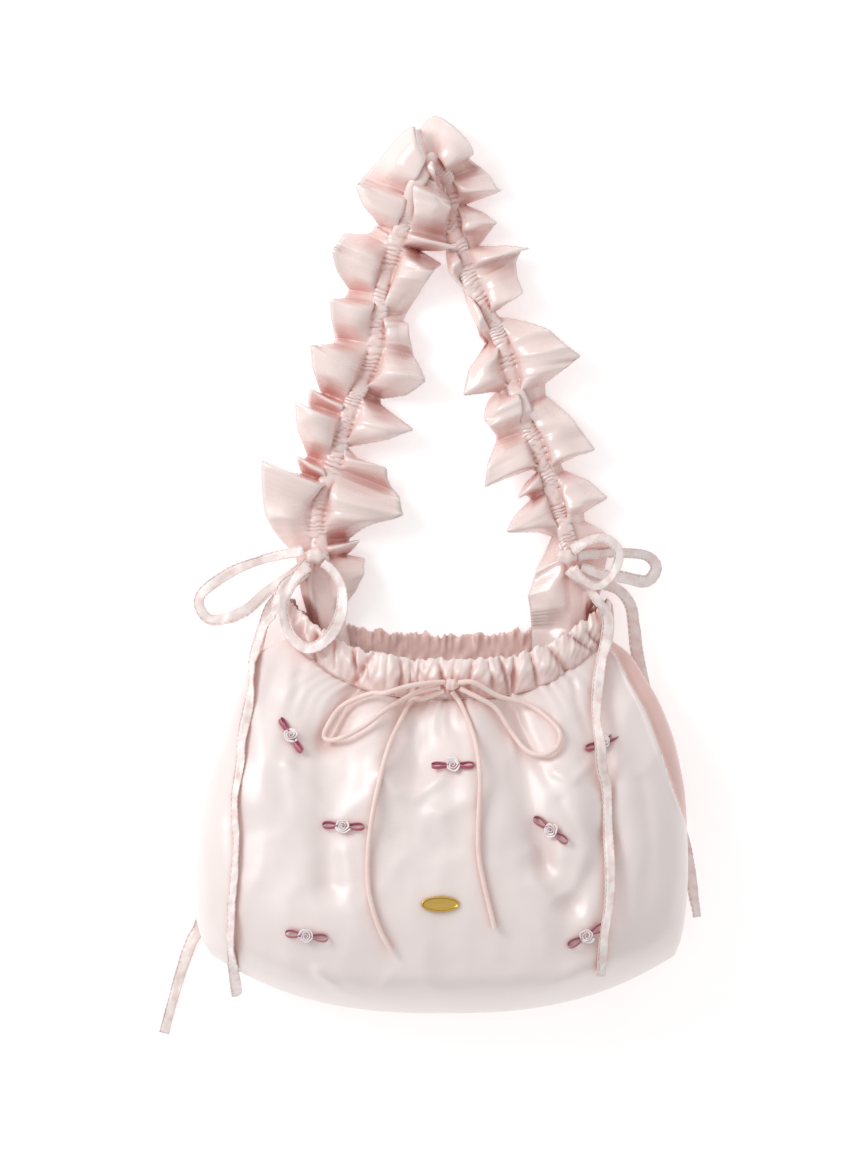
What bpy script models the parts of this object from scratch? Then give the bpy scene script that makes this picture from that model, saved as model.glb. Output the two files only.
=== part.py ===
"""A small satin bucket bag lying on its back, its front panel up, with a shirred
ruffled shoulder strap, a gathered casing, ribbon ties and a bow, in metres."""

import bpy
import bmesh
from math import atan2, cos, exp, hypot, pi, radians, sin, sqrt
from mathutils import Matrix, Vector
from mathutils.bvhtree import BVHTree

# Sizes in metres. X runs across the bag, Y up the bag to the strap, Z off the floor.
BAG_WIDTH = 0.306
BAG_LENGTH = 0.221
BAG_HEIGHT = 0.080
SIDE_HEIGHT = 0.031
BASE_HEIGHT = 0.026
CLOTH = 0.0016
SEAM_GAP = 0.0013
FACE_GAP = 0.0003
CASING_WIDTH = 0.0245
CASING_PUFF = 0.0030
PLEAT_DEPTH = 0.0013
PLEAT_FLARE = 0.0008
STRAP_REACH = 0.050
STRAP_RISE = 0.034
STRAP_LIFT = 0.013
CHANNEL_HALF = 0.0055
CHANNEL_PUFF = 0.0028
LEAST_RUFFLE = 0.001
TIE_WIDTH = 0.008
TIE_THICKNESS = 0.0013
TIE_KNOT = 0.0115
CORD_DIAMETER = 0.0032
CORD_KNOT = 0.0085
ROSE_WIDTH = 0.0105
ROSE_HEIGHT = 0.0050
LEAF_SPAN = 0.0265
LEAF_DEPTH = 0.0074
LEAF_HEIGHT = 0.0022
LEAF_CLOTH = 0.0010
PLAQUE_LENGTH = 0.0235
PLAQUE_DEPTH = 0.0098
PLAQUE_HEIGHT = 0.0016
PLAQUE_RIM = 0.0010

# The photograph's picks are columns and rows of pixels. The bag is this wide and
# long there, and the origin is under this pick, so a pick is a share of the bag.
PHOTO_WIDTH = 493.5
PHOTO_LENGTH = 356.5
PHOTO_ORIGIN = (440.5, 563.9)

# A height in a table counts in eightieths of the bag's height, and a ruffle's
# reach in fiftieths of the strap's reach.
HEIGHT_PARTS = 80
REACH_PARTS = 50

# Share of the bag's length over which the base end rounds off, share over which
# folds fade in from the base, and how full the back's flat is.
BASE_ROUND = 0.13
FOLD_FADE = 0.2
BACK_FILL = 1.08

# How finely things are worked out.
PLEAT_COUNT = 40
BAG_SIDES = 23
BAG_RISES = (0.0, 0.006, 0.022, 0.05, 0.09, 0.14, 0.21, 0.29, 0.37, 0.45,
             0.53, 0.61, 0.69, 0.77, 0.85, 0.92, 0.965, 1.0)
STRAP_SAMPLES = 521
STRAP_SHARES = (1.0, 0.5, 0.0)
TURN_SAMPLES = 14
LEAST_STOP = 0.0035
CURVE_STEPS = 12
TIE_STEP = 0.0130
CORD_STEP = 0.0072
SLOPE_STEP = 0.003
MERGE = 0.00005
LEAF_POINTS = 16
ROSE_STEPS = 10
PLAQUE_POINTS = 20

# Reach of the cover's fall outside the bag's outline, height over the skin at
# which a ribbon lies level, and how far off a piece starts to look for its seat.
COVER_FALL = 0.012
LEVEL_HEIGHT = 0.008
DROP = 0.012

# Colours as linear red, green, blue.
SATIN = (0.86, 0.68, 0.65)
SATIN_SHADE = (0.80, 0.60, 0.57)
RATTAIL = (0.86, 0.60, 0.54)
ROSE_PINK = (0.72, 0.44, 0.50)
LEAF_RED = (0.25, 0.06, 0.10)
BRASS = (0.72, 0.46, 0.13)

# Bag's plan, a row per station from base (rise 0) to stitch line (rise 1):
# rise, left edge's column, right edge's column, height as a share of the bag's
# height, fullness of the rounded section.
BAG_STATIONS = (
    (0.00, 212, 674, 0.75, 2.80),
    (0.05, 203, 680, 0.86, 2.80),
    (0.13, 196.5, 684.5, 0.94, 2.70),
    (0.25, 194, 687, 1.00, 2.60),
    (0.37, 195, 686.5, 1.00, 2.50),
    (0.51, 202, 684, 0.97, 2.40),
    (0.60, 209, 679, 0.95, 2.35),
    (0.69, 219, 672, 0.90, 2.30),
    (0.80, 232, 658, 0.80, 2.20),
    (0.88, 243, 643, 0.70, 2.15),
    (0.95, 258, 628, 0.62, 2.10),
    (1.00, 290, 606, 0.55, 2.10),
)

# The base line and the mouth's stitch line in front and behind: row at the
# middle, rows that it climbs to the sides, power of that curve.
BASE_LINE = (1012, 58, 2.6)
FRONT_LINE = (697, 60, 2.8)
BACK_LINE = (672, 32, 2.8)

# Drape folds of the front panel: start column and row, end column and row, half
# width in columns, height in parts of the bag's height (minus for a valley).
FRONT_FOLDS = (
    (352, 692, 322, 745, 12, -5),
    (326, 745, 330, 880, 16, -6),
    (285, 690, 255, 800, 22, 5),
    (385, 700, 372, 790, 16, 4),
    (415, 705, 420, 800, 16, -4),
    (480, 705, 470, 790, 18, 4),
    (510, 715, 540, 860, 14, -5),
    (562, 720, 575, 850, 18, 5),
    (607, 700, 600, 830, 14, -4),
    (540, 860, 570, 900, 16, -4),
    (570, 900, 605, 840, 14, -3),
)

# The strap's middle line, from the left root over the fold to the right root:
# column, row, and height as a share of the strap's lift.
STRAP_LINE = (
    (326, 614, 1.35),
    (322, 590, 1.40),
    (321, 557, 1.30),
    (317, 525, 1.10),
    (322, 495, 1.00),
    (333, 468, 1.00),
    (343, 435, 1.00),
    (353, 402, 1.00),
    (368, 372, 1.00),
    (377, 345, 1.00),
    (379, 315, 1.00),
    (384, 282, 1.00),
    (392, 258, 1.05),
    (401, 232, 1.30),
    (409, 207, 1.70),
    (418, 182, 2.10),
    (433, 162, 1.90),
    (447, 182, 1.00),
    (451, 208, 0.80),
    (457, 238, 0.85),
    (466, 270, 1.00),
    (476, 292, 1.00),
    (487, 314, 1.00),
    (500, 337, 1.00),
    (508, 364, 1.00),
    (516, 391, 1.00),
    (527, 420, 1.00),
    (538, 450, 1.00),
    (549, 480, 1.00),
    (557, 505, 1.05),
    (566, 535, 1.20),
    (571, 556, 1.30),
    (576, 590, 1.40),
    (578, 618, 1.30),
)
# Rows of the strap's line beside the left and the right tie's knot.
KNOT_ROWS = (2, -3)

# Petals of the ruffle, a row per fold. Each starts at a root, opens to a tip and
# closes at an end: along the strap (0 at the left tie's knot, 1 at the right's),
# then reach in parts. The last two columns are the tip's and the root's height
# as shares of the rise.
OUTER_PETALS = (
    (-0.065, 11, -0.030, 13, 0.000, 15, 0.50, 0.50),
    (0.008, 16, 0.079, 41, 0.087, 18, 0.85, 0.20),
    (0.091, 16, 0.098, 23, 0.105, 19, 0.60, 0.15),
    (0.112, 17, 0.159, 33, 0.166, 24, 0.80, 0.20),
    (0.172, 26, 0.177, 27, 0.183, 20, 0.50, 0.15),
    (0.188, 21, 0.219, 38, 0.250, 26, 0.90, 0.15),
    (0.262, 26, 0.298, 30, 0.312, 22, 0.80, 0.20),
    (0.322, 20, 0.343, 35, 0.375, 33, 0.85, 0.20),
    (0.382, 20, 0.388, 14, 0.393, 17, 0.30, 0.15),
    (0.400, 14, 0.424, 34, 0.446, 32.5, 0.90, 0.30),
    (0.455, 30, 0.480, 24, 0.493, 21, 0.95, 0.90),
    (0.499, 29, 0.510, 22, 0.522, 18, 0.90, 0.60),
    (0.530, 22, 0.545, 29, 0.556, 33, 0.80, 0.30),
    (0.564, 8, 0.584, 25, 0.600, 22, 0.70, 0.10),
    (0.618, 11, 0.634, 40, 0.642, 36, 0.85, 0.15),
    (0.655, 30, 0.686, 25, 0.700, 4, 0.70, 0.50),
    (0.708, 5, 0.767, 43, 0.798, 18, 0.85, 0.15),
    (0.812, 16, 0.881, 32, 0.892, 10, 0.80, 0.15),
    (0.902, 10, 0.936, 30, 0.955, 14, 0.70, 0.15),
    (0.965, 13, 0.991, 28, 1.000, 24, 0.35, 0.15),
    (1.015, 20, 1.030, 15, 1.070, 11, 0.50, 0.50),
)
INNER_PETALS = (
    (-0.065, 11, -0.030, 13, -0.008, 15, 0.50, 0.50),
    (0.000, 15, 0.008, 25, 0.013, 18, 0.60, 0.20),
    (0.020, 19, 0.071, 50, 0.103, 45, 0.90, 0.15),
    (0.110, 38, 0.118, 31, 0.127, 13, 0.60, 0.50),
    (0.137, 4, 0.173, 40, 0.200, 16, 0.80, 0.10),
    (0.207, 14, 0.230, 34, 0.259, 23, 0.85, 0.20),
    (0.268, 21, 0.280, 18, 0.293, 15, 0.60, 0.70),
    (0.301, 16, 0.355, 26, 0.379, 30, 0.85, 0.20),
    (0.386, 14, 0.393, 35, 0.403, 31, 0.90, 0.30),
    (0.411, 27, 0.440, 24, 0.468, 20, 0.95, 0.85),
    (0.479, 12, 0.489, 8, 0.499, 6, 0.95, 0.95),
    (0.515, 6, 0.550, 7, 0.600, 7, 0.25, 0.25),
    (0.612, 8, 0.624, 10, 0.659, 6, 0.50, 0.15),
    (0.668, 7, 0.695, 9, 0.718, 11, 0.60, 0.15),
    (0.730, 10, 0.771, 31, 0.789, 11, 0.85, 0.10),
    (0.796, 18, 0.804, 24, 0.835, 21, 0.70, 0.15),
    (0.843, 22, 0.879, 38, 0.887, 8, 0.85, 0.15),
    (0.893, 5, 0.905, 21, 0.915, 16, 0.60, 0.15),
    (0.922, 14, 0.940, 34, 0.962, 18, 0.85, 0.15),
    (0.969, 14, 0.990, 28, 1.000, 28, 0.70, 0.20),
    (1.012, 27, 1.030, 18, 1.070, 12, 0.60, 0.50),
)

# Routes of the ribbon ties: whether heights count from the bag's skin (else from
# the floor), then column, row and height in parts.
TIES = {
    "left_tie_side_loop": (False, (
        (304, 550, 30), (296, 552, 28), (264, 559, 18), (233, 571, 9), (205, 590, 6),
        (199, 605, 5.5), (212, 620, 5.5), (243, 612, 10), (267, 592, 16.5),
        (288, 577, 21.5), (305, 565, 24.2))),
    "left_tie_front_loop": (False, (
        (323, 563, 31), (335, 573, 32), (342, 590, 34), (341, 615, 39), (328, 638, 44),
        (308, 648, 43), (290, 633, 38), (284, 604, 33.5), (297, 578, 32.7),
        (309, 566, 32.2))),
    "left_tie_front_tail": (True, (
        (308, 561, 27.6), (297, 575, 27.0), (284, 592, 14.5), (274, 612, 9.5),
        (266, 633, 5), (256, 664, 3.4), (253, 695, 3.0), (245, 737, 2.8),
        (243, 764, 2.8), (238, 799, 2.8), (239, 840, 2.8), (237, 875, 2.8),
        (235, 902, 2.8), (235, 944, 3.0), (240, 990, 5))),
    "left_tie_rear_tail": (False, (
        (307, 571, 21.6), (300, 578, 20.6), (284, 590, 15.5), (270, 606, 9),
        (262, 630, 3.5), (256, 653, 1.3), (250, 677, 1), (240, 700, 1), (226, 737, 1),
        (208, 792, 1), (201, 833, 1), (200, 873, 1), (201, 920, 1), (191, 942, 1),
        (181, 971, 1), (171, 1006, 1), (164, 1033, 1))),
    "right_tie_near_loop": (False, (
        (571.5, 550.5, 31.3), (588, 541, 33.5), (606, 539, 34), (618, 552, 34),
        (613, 572, 34), (598, 586, 34), (583, 580, 34), (573, 567, 33.5))),
    "right_tie_side_loop": (False, (
        (577, 556, 27.5), (600, 554, 24), (625, 553, 16), (647, 556, 7), (656, 568, 4.5),
        (646, 581, 4.5), (622, 577, 17), (600, 574, 22), (581, 567, 24.8))),
    "right_tie_front_tail": (True, (
        (568, 569, 27.8), (578, 579, 27.6), (588, 590, 20.5), (597, 601, 13.5),
        (603, 617, 8.9), (603, 640, 6.3), (600, 663, 5.7), (594, 697, 4.8),
        (594, 722, 10.5), (596, 745, 16.1), (599, 768, 10.5), (605, 790, 4.3),
        (607, 830, 3.9), (608, 863, 3.9), (606, 900, 5.1), (602, 930, 8.7),
        (597, 968, 4.5))),
    "right_tie_rear_tail": (False, (
        (576, 573, 22), (588, 579, 20.5), (602, 584, 18.6), (618, 590, 10),
        (630, 605, 4), (634, 628, 2), (637, 653, 1.3), (646, 688, 1), (658, 716, 1),
        (668, 745, 1), (674, 780, 1), (679, 815, 1), (685, 845, 1), (691, 880, 1),
        (697, 917, 1))),
}

# Routes of the round drawstring over the bag's skin: column, row, height in parts.
CORDS = {
    "bow_left_loop": (
        (445, 681.4, 6), (425, 683, 12.7), (404, 686, 13.2), (385, 690, 11.7),
        (372, 695, 8.2), (343, 709, 5.2), (324, 727, 4.6), (325, 739, 4.6),
        (343, 741, 4.6), (365, 730, 5.2), (385, 711, 7.6), (402, 697, 8.8),
        (422, 690, 8.8), (441, 686.5, 5.4)),
    "bow_right_loop": (
        (459, 682, 6.5), (474, 682, 6.5), (496, 691, 5.5), (528, 706, 4.1),
        (550, 721, 3.7), (560, 736, 3.7), (556, 750, 3.7), (543, 756, 3.7),
        (528, 751, 3.9), (509, 735, 4.5), (492, 710, 4.5), (478, 694, 3.9),
        (461, 688, 3.1)),
    "bow_left_tail": (
        (444.4, 690.2, 3.2), (425, 696, 2.7), (410, 702, 3.6), (399, 720, 4),
        (386, 752, 4.2), (375, 800, 3.8), (369, 850, 3.6), (370, 890, 3.4),
        (380, 925, 3.2), (392, 947, 3.2)),
    "bow_right_tail": (
        (452.6, 691.4, 3.6), (460, 703, 2.9), (469, 722, 3), (475, 745, 5),
        (478, 765, 7.9), (478, 785, 5.1), (478, 815, 3.5), (478, 850, 3.3),
        (483, 880, 3.1), (494, 925, 3.1)),
}

# Places on the bag: column and row, then a knot's height over the cover in
# parts, or a rosette's turn in degrees.
LEFT_KNOT = (316, 556, 29)
RIGHT_KNOT = (566, 557, 29)
BOW_KNOT = (451, 684, 4.2)
ROSETTES = (
    (292, 736, -60),
    (453, 765, 0),
    (601, 742, 25),
    (345, 824, -3),
    (551, 828, -35),
    (308, 932, -7),
    (585, 932, 30),
)
PLAQUE = (440, 901, 0)

# A knot's proportions, a rose's turned profile (reach and rise as shares of its
# width and height) and the plaque's rim (inset and height as shares of its own).
KNOT_SHAPE = (1.0, 0.8, 0.62)
ROSE_PROFILE = ((0.0, 0.0), (0.42, 0.0), (0.5, 0.45), (0.40, 0.85), (0.26, 0.62),
                (0.14, 1.0), (0.0, 0.9))
PLAQUE_RINGS = ((0.0, 0.0), (0.0, 0.7), (0.25, 1.0), (0.70, 1.0), (1.0, 0.6))
LEAF_WAIST = 0.30


def blend(table, column, place):
    """Smooth value of a table's column at a place in its first column."""
    last = len(table) - 1
    place = min(max(place, table[0][0]), table[last][0])
    index = 0
    while place > table[index + 1][0]:
        index += 1
    low, high = table[index], table[index + 1]
    before, after = table[max(index - 1, 0)], table[min(index + 2, last)]
    span = high[0] - low[0]
    share = (place - low[0]) / span
    enter = (high[column] - before[column]) / (high[0] - before[0]) * span
    leave = (after[column] - low[column]) / (after[0] - low[0]) * span
    square, cube = share ** 2, share ** 3
    return ((2 * cube - 3 * square + 1) * low[column] + (cube - 2 * square + share) * enter
            + (3 * square - 2 * cube) * high[column] + (cube - square) * leave)


def plan(column, row):
    """Plan position in metres of a pick."""
    return ((column - PHOTO_ORIGIN[0]) / PHOTO_WIDTH * BAG_WIDTH,
            (PHOTO_ORIGIN[1] - row) / PHOTO_LENGTH * BAG_LENGTH)


def in_parts(height):
    return height / HEIGHT_PARTS * BAG_HEIGHT


def line_row(line, side):
    """Row of the base line or a stitch line at a side, -1 left to 1 right."""
    return line[0] - line[1] * abs(side) ** line[2]


def round_share(rise):
    """How far the rounded base end has opened at a rise."""
    closed = max(0.0, 1 - rise / BASE_ROUND)
    return sqrt(1 - closed ** 2)


def fold_height(x, y):
    """Height that the drape folds add to the front panel at a plan position."""
    total = 0.0
    for start_column, start_row, end_column, end_row, width, height in FRONT_FOLDS:
        start = Vector(plan(start_column, start_row))
        run = Vector(plan(end_column, end_row)) - start
        spot = Vector((x, y)) - start
        share = spot.dot(run) / run.length_squared
        aside = abs(spot.x * run.y - spot.y * run.x) / run.length
        beyond = max(0.0, -share, share - 1) * run.length
        spread = hypot(aside, beyond) / (width / PHOTO_WIDTH * BAG_WIDTH)
        total += in_parts(height) * exp(-spread ** 2)
    return total


def bag_point(side, rise, top):
    """Point of the bag's skin: side -1 to 1 across, rise 0 to 1 up, front or back."""
    left = blend(BAG_STATIONS, 1, rise)
    right = blend(BAG_STATIONS, 2, rise)
    full = blend(BAG_STATIONS, 3, rise)
    power = blend(BAG_STATIONS, 4, rise)
    base = line_row(BASE_LINE, side)
    rim = line_row(FRONT_LINE if top else BACK_LINE, side)
    x, y = plan((left + right) / 2 + (right - left) / 2 * side, base + (rim - base) * rise)
    opened = round_share(rise)
    edge = BASE_HEIGHT + (SIDE_HEIGHT * full - BASE_HEIGHT) * opened
    if top:
        dome = max(0.0, 1 - abs(side) ** power) ** (1 / power)
        z = edge + (full * BAG_HEIGHT - edge) * opened * dome
        z += fold_height(x, y) * (1 - side ** 4) * min(1.0, rise / FOLD_FADE)
    else:
        flat = max(0.0, 1 - side ** 4) ** 0.25
        z = edge * (1 - min(1.0, BACK_FILL * flat) * opened)
    return Vector((x, y, z))


def bag_place(x, y):
    """Side and rise of the front skin under a plan position."""
    column = PHOTO_ORIGIN[0] + x / BAG_WIDTH * PHOTO_WIDTH
    row = PHOTO_ORIGIN[1] - y / BAG_LENGTH * PHOTO_LENGTH
    side, rise = 0.0, 0.5
    for _ in range(24):
        base = line_row(BASE_LINE, side)
        rise = (base - row) / (base - line_row(FRONT_LINE, side))
        left = blend(BAG_STATIONS, 1, rise)
        right = blend(BAG_STATIONS, 2, rise)
        there = (column - (left + right) / 2) / ((right - left) / 2)
        side = (side + min(max(there, -1.3), 1.3)) / 2
    return side, rise


def cover_height(x, y):
    """Height of the bag's upper skin at a plan position, falling to the floor
    within a short way outside its outline."""
    side, rise = bag_place(x, y)
    spot = bag_point(min(max(side, -1.0), 1.0), min(max(rise, 0.0), 1.0), True)
    beyond = hypot(x - spot.x, y - spot.y)
    if rise > 1:
        beyond = max(0.0, beyond - CASING_WIDTH)
        spot.z += CASING_PUFF + PLEAT_DEPTH
    return spot.z * max(0.0, 1 - beyond / COVER_FALL)


def cover_normal(x, y):
    run = 2 * SLOPE_STEP
    slope_x = (cover_height(x + SLOPE_STEP, y) - cover_height(x - SLOPE_STEP, y)) / run
    slope_y = (cover_height(x, y + SLOPE_STEP) - cover_height(x, y - SLOPE_STEP)) / run
    return Vector((-slope_x, -slope_y, 1)).normalized()


def make_collection(name):
    group = bpy.data.collections.new(name)
    bpy.context.scene.collection.children.link(group)
    return group


def make_material(name, colour, roughness, metallic=0.0):
    material = bpy.data.materials.new(name)
    material.use_nodes = True
    shader = material.node_tree.nodes["Principled BSDF"]
    shader.inputs["Base Color"].default_value = (*colour, 1)
    shader.inputs["Roughness"].default_value = roughness
    shader.inputs["Metallic"].default_value = metallic
    material.diffuse_color = (*colour, 1)
    return material


def place_object(name, data, material):
    data.materials.append(material)
    item = bpy.data.objects.new(name, data)
    part.objects.link(item)
    item.parent = root
    return item


def place_mesh(name, shape, material, smooth=True):
    """Put a bmesh in the part's collection as a named object."""
    bmesh.ops.recalc_face_normals(shape, faces=shape.faces)
    mesh = bpy.data.meshes.new(name)
    shape.to_mesh(mesh)
    shape.free()
    for face in mesh.polygons:
        face.use_smooth = smooth
    return place_object(name, mesh, material)


def thicken(item, thickness):
    """Give a sheet its cloth thickness toward its inner side."""
    wall = item.modifiers.new("cloth", "SOLIDIFY")
    wall.thickness = thickness
    wall.offset = -1
    wall.use_even_offset = False


def loft(rows, closed):
    """Sheet through rows of points; each row closed on itself or open."""
    sheet = bmesh.new()
    grid = [[sheet.verts.new(spot) for spot in row] for row in rows]
    count = len(rows[0])
    for low, high in zip(grid, grid[1:]):
        for index in range(count if closed else count - 1):
            ahead = (index + 1) % count
            sheet.faces.new((low[index], low[ahead], high[ahead], high[index]))
    return sheet


def ring_sides(count):
    """Sides around the bag: over the front from left to right, back below."""
    front = [(-cos(pi * index / count), True) for index in range(count + 1)]
    back = [(cos(pi * index / count), False) for index in range(1, count)]
    return front + back


def make_bag():
    sides = ring_sides(BAG_SIDES)
    rows = [[bag_point(side, rise, top) for side, top in sides] for rise in BAG_RISES]
    sheet = loft(rows, True)
    bmesh.ops.remove_doubles(sheet, verts=sheet.verts, dist=MERGE)
    item = place_mesh("bag_body", sheet, satin)
    thicken(item, CLOTH)
    return item


def make_casing():
    """Gathered band round the mouth, one pleat after another."""
    rim = [bag_point(side, 1.0, top) for side, top in ring_sides(2 * PLEAT_COUNT)]
    count = len(rim)
    middle = sum(rim, Vector()) / count
    rows = []
    for share in (0.0, 0.5, 1.0):
        row = []
        for index, spot in enumerate(rim):
            way = rim[(index + 1) % count] - rim[index - 1]
            out = way.cross(Vector((0, 1, 0))).normalized()
            if out.dot(spot - middle) < 0:
                out.negate()
            wave = cos(pi * index / 2)
            swell = CASING_PUFF * sin(pi * share) + PLEAT_DEPTH * wave
            ahead = SEAM_GAP + share * (CASING_WIDTH + PLEAT_FLARE * wave)
            place = spot + out * swell + Vector((0, ahead, 0))
            place.z = max(place.z, 0.0)
            row.append(place)
        rows.append(row)
    item = place_mesh("rim_casing", loft(rows, True), satin)
    thicken(item, CLOTH)


def lengths_along(route):
    """Length of a route from its start to each of its points."""
    reach = [0.0]
    for low, high in zip(route, route[1:]):
        reach.append(reach[-1] + (high - low).length)
    return reach


def smooth_route(route, samples):
    """Points at equal steps along a smooth curve through a route."""
    ends = [route[0] * 2 - route[1], *route, route[-1] * 2 - route[-2]]
    fine = []
    for before, low, high, after in zip(ends, ends[1:], ends[2:], ends[3:]):
        for step in range(CURVE_STEPS):
            share = step / CURVE_STEPS
            fine.append(0.5 * (2 * low + (high - before) * share
                               + (2 * before - 5 * low + 4 * high - after) * share ** 2
                               + (3 * low - before - 3 * high + after) * share ** 3))
    fine.append(route[-1])
    reach = lengths_along(fine)
    spots, index = [], 0
    for step in range(samples):
        target = reach[-1] * step / (samples - 1)
        while index < len(fine) - 2 and reach[index + 1] < target:
            index += 1
        share = (target - reach[index]) / (reach[index + 1] - reach[index])
        spots.append(fine[index].lerp(fine[index + 1], share))
    return spots


def petal_edge(petals, start, end):
    """Edge of one side of the ruffle as rows of along, reach, height; the petals
    count along from the start to the end, which are shares of the strap."""
    edge = []
    for root_at, root, tip_at, tip, end_at, close, high, low in petals:
        for place, reach, height in ((root_at, root, low), (tip_at, tip, high),
                                     (end_at, close, (high + low) / 2)):
            along = min(max(start + place * (end - start), 0.0), 1.0)
            edge.append((along, reach / REACH_PARTS * STRAP_REACH, height * STRAP_RISE))
    return edge


def straight(table, column, place):
    """Value of a table's column between its rows, unchanged beyond its ends."""
    for low, high in zip(table, table[1:]):
        if place <= high[0]:
            share = max(0.0, place - low[0]) / (high[0] - low[0])
            return low[column] + (high[column] - low[column]) * share
    return table[-1][column]


def make_strap():
    """Shirred strap: one band whose two edges open into petals along a puckered
    middle channel, folded over itself at the top."""
    route = [Vector((*plan(column, row), lift * STRAP_LIFT)) for column, row, lift in STRAP_LINE]
    line = smooth_route(route, STRAP_SAMPLES)
    reach = lengths_along(route)
    start, end = reach[KNOT_ROWS[0]] / reach[-1], reach[KNOT_ROWS[1]] / reach[-1]
    outer = petal_edge(OUTER_PETALS, start, end)
    inner = petal_edge(INNER_PETALS, start, end)
    stops = [0.0]
    for place in sorted({row[0] for row in outer + inner} | {1.0}):
        if place - stops[-1] > LEAST_STOP:
            stops.append(place)
    last = STRAP_SAMPLES - 1
    rows = []
    for index, place in enumerate(stops):
        low = min(int(place * last), last - 1)
        spot = line[low].lerp(line[low + 1], place * last - low)
        way = line[min(low + TURN_SAMPLES + 1, last)] - line[max(low - TURN_SAMPLES, 0)]
        left = Vector((-way.y, way.x, 0)).normalized()
        halves = []
        for sense, edge in ((1, outer), (-1, inner)):
            ruffle = max(straight(edge, 1, place) - CHANNEL_HALF, LEAST_RUFFLE)
            climb = straight(edge, 2, place) - spot.z
            half = []
            for share in STRAP_SHARES:
                aside = left * sense * (CHANNEL_HALF + ruffle * share)
                half.append(spot + aside + Vector((0, 0, climb * share ** 0.8)))
            halves.append(half)
        pucker = CHANNEL_PUFF * (1.0 if index % 2 else 0.45)
        middle = spot + Vector((0, 0, pucker))
        rows.append(halves[0] + [middle] + halves[1][::-1])
    item = place_mesh("strap", loft(rows, False), satin)
    thicken(item, CLOTH)


def route_points(over, picks):
    """Route of a ribbon or cord, its heights over the bag's skin or the floor."""
    points = []
    for column, row, height in picks:
        x, y = plan(column, row)
        spot, lift = Vector((x, y, 0)), Vector((0, 0, 1))
        if over:
            spot.z = cover_height(x, y)
            lift = cover_normal(x, y)
            lift.z = max(lift.z, 0.7)
        points.append(spot + lift * in_parts(height))
    return points


def make_line(name, route, step, material):
    """Open curve with a point every step along a smooth route."""
    curve = bpy.data.curves.new(name, "CURVE")
    curve.dimensions = "3D"
    curve.twist_mode = "Z_UP"
    curve.use_fill_caps = True
    spots = smooth_route(route, max(6, round(lengths_along(route)[-1] / step)))
    line = curve.splines.new("POLY")
    line.points.add(len(spots) - 1)
    for point, spot in zip(line.points, spots):
        point.co = (*spot, 1)
    place_object(name, curve, material)
    return curve


def make_tie(name, over, picks):
    """Flat ribbon, lying on the skin where it is close to it and level above."""
    curve = make_line(name, route_points(over, picks), TIE_STEP, tie_satin)
    curve.extrude = TIE_WIDTH / 2 - TIE_THICKNESS / 2
    curve.bevel_depth = TIE_THICKNESS / 2
    curve.bevel_resolution = 0
    points = curve.splines[0].points
    last = len(points) - 1
    level = Vector((0, 0, 1))
    for index, point in enumerate(points):
        spot = point.co
        way = (points[min(index + 1, last)].co - points[max(index - 1, 0)].co).to_3d()
        flank = level.cross(way).normalized()
        upright = way.cross(flank).normalized()
        face = level
        if over:
            above = spot.z - cover_height(spot.x, spot.y)
            hug = min(max(1.6 - above / LEVEL_HEIGHT, 0.0), 1.0)
            face = level.lerp(cover_normal(spot.x, spot.y), hug)
        point.tilt = atan2(face.dot(upright), face.dot(flank))


def make_cord(name, picks):
    curve = make_line(name, route_points(True, picks), CORD_STEP, rattail)
    curve.bevel_depth = CORD_DIAMETER / 2
    curve.bevel_resolution = 2


def make_knot(name, pick, size, material):
    """Small tied knot, an egg lying on its side."""
    knot = bmesh.new()
    bmesh.ops.create_uvsphere(knot, u_segments=12, v_segments=7, radius=size / 2)
    bmesh.ops.scale(knot, vec=KNOT_SHAPE, verts=knot.verts)
    item = place_mesh(name, knot, material)
    column, row, height = pick
    x, y = plan(column, row)
    item.location = (x, y, cover_height(x, y) + in_parts(height))


def on_front(item, pick):
    """Lay a piece on the front panel, its Z along the panel's normal, a face gap
    clear of the highest cloth below its own points."""
    column, row, turn = pick
    x, y = plan(column, row)
    normal = cover_normal(x, y)
    seat = normal.to_track_quat("Z", "Y").to_matrix().to_4x4()
    right = seat.to_3x3() @ Vector((1, 0, 0))
    seat = seat @ Matrix.Rotation(radians(turn) - atan2(right.y, right.x), 4, "Z")
    item.matrix_local = Matrix.Translation((x, y, cover_height(x, y))) @ seat
    bpy.context.view_layer.update()
    state = bpy.context.evaluated_depsgraph_get()
    cloth = BVHTree.FromObject(bag, state)
    lift = -DROP
    for vertex in item.evaluated_get(state).data.vertices:
        start = item.matrix_world @ vertex.co + normal * DROP
        reach = cloth.ray_cast(start, -normal, 2 * DROP)[3]
        if reach is not None:
            lift = max(lift, DROP - reach)
    item.location += normal * (lift + FACE_GAP)


def make_leaves(name, pick):
    """Bow of two ribbon leaves: a standing ring of ribbon, narrow at its waist."""
    low = []
    for index in range(LEAF_POINTS):
        angle = 2 * pi * index / LEAF_POINTS
        width = LEAF_WAIST + (1 - LEAF_WAIST) * abs(cos(angle)) ** 0.8
        low.append(Vector((LEAF_SPAN / 2 * cos(angle), LEAF_DEPTH / 2 * sin(angle) * width, 0)))
    high = [spot + Vector((0, 0, LEAF_HEIGHT)) for spot in low]
    item = place_mesh(name, loft((low, high), True), leaf_red)
    thicken(item, LEAF_CLOTH)
    on_front(item, pick)
    return item


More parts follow.
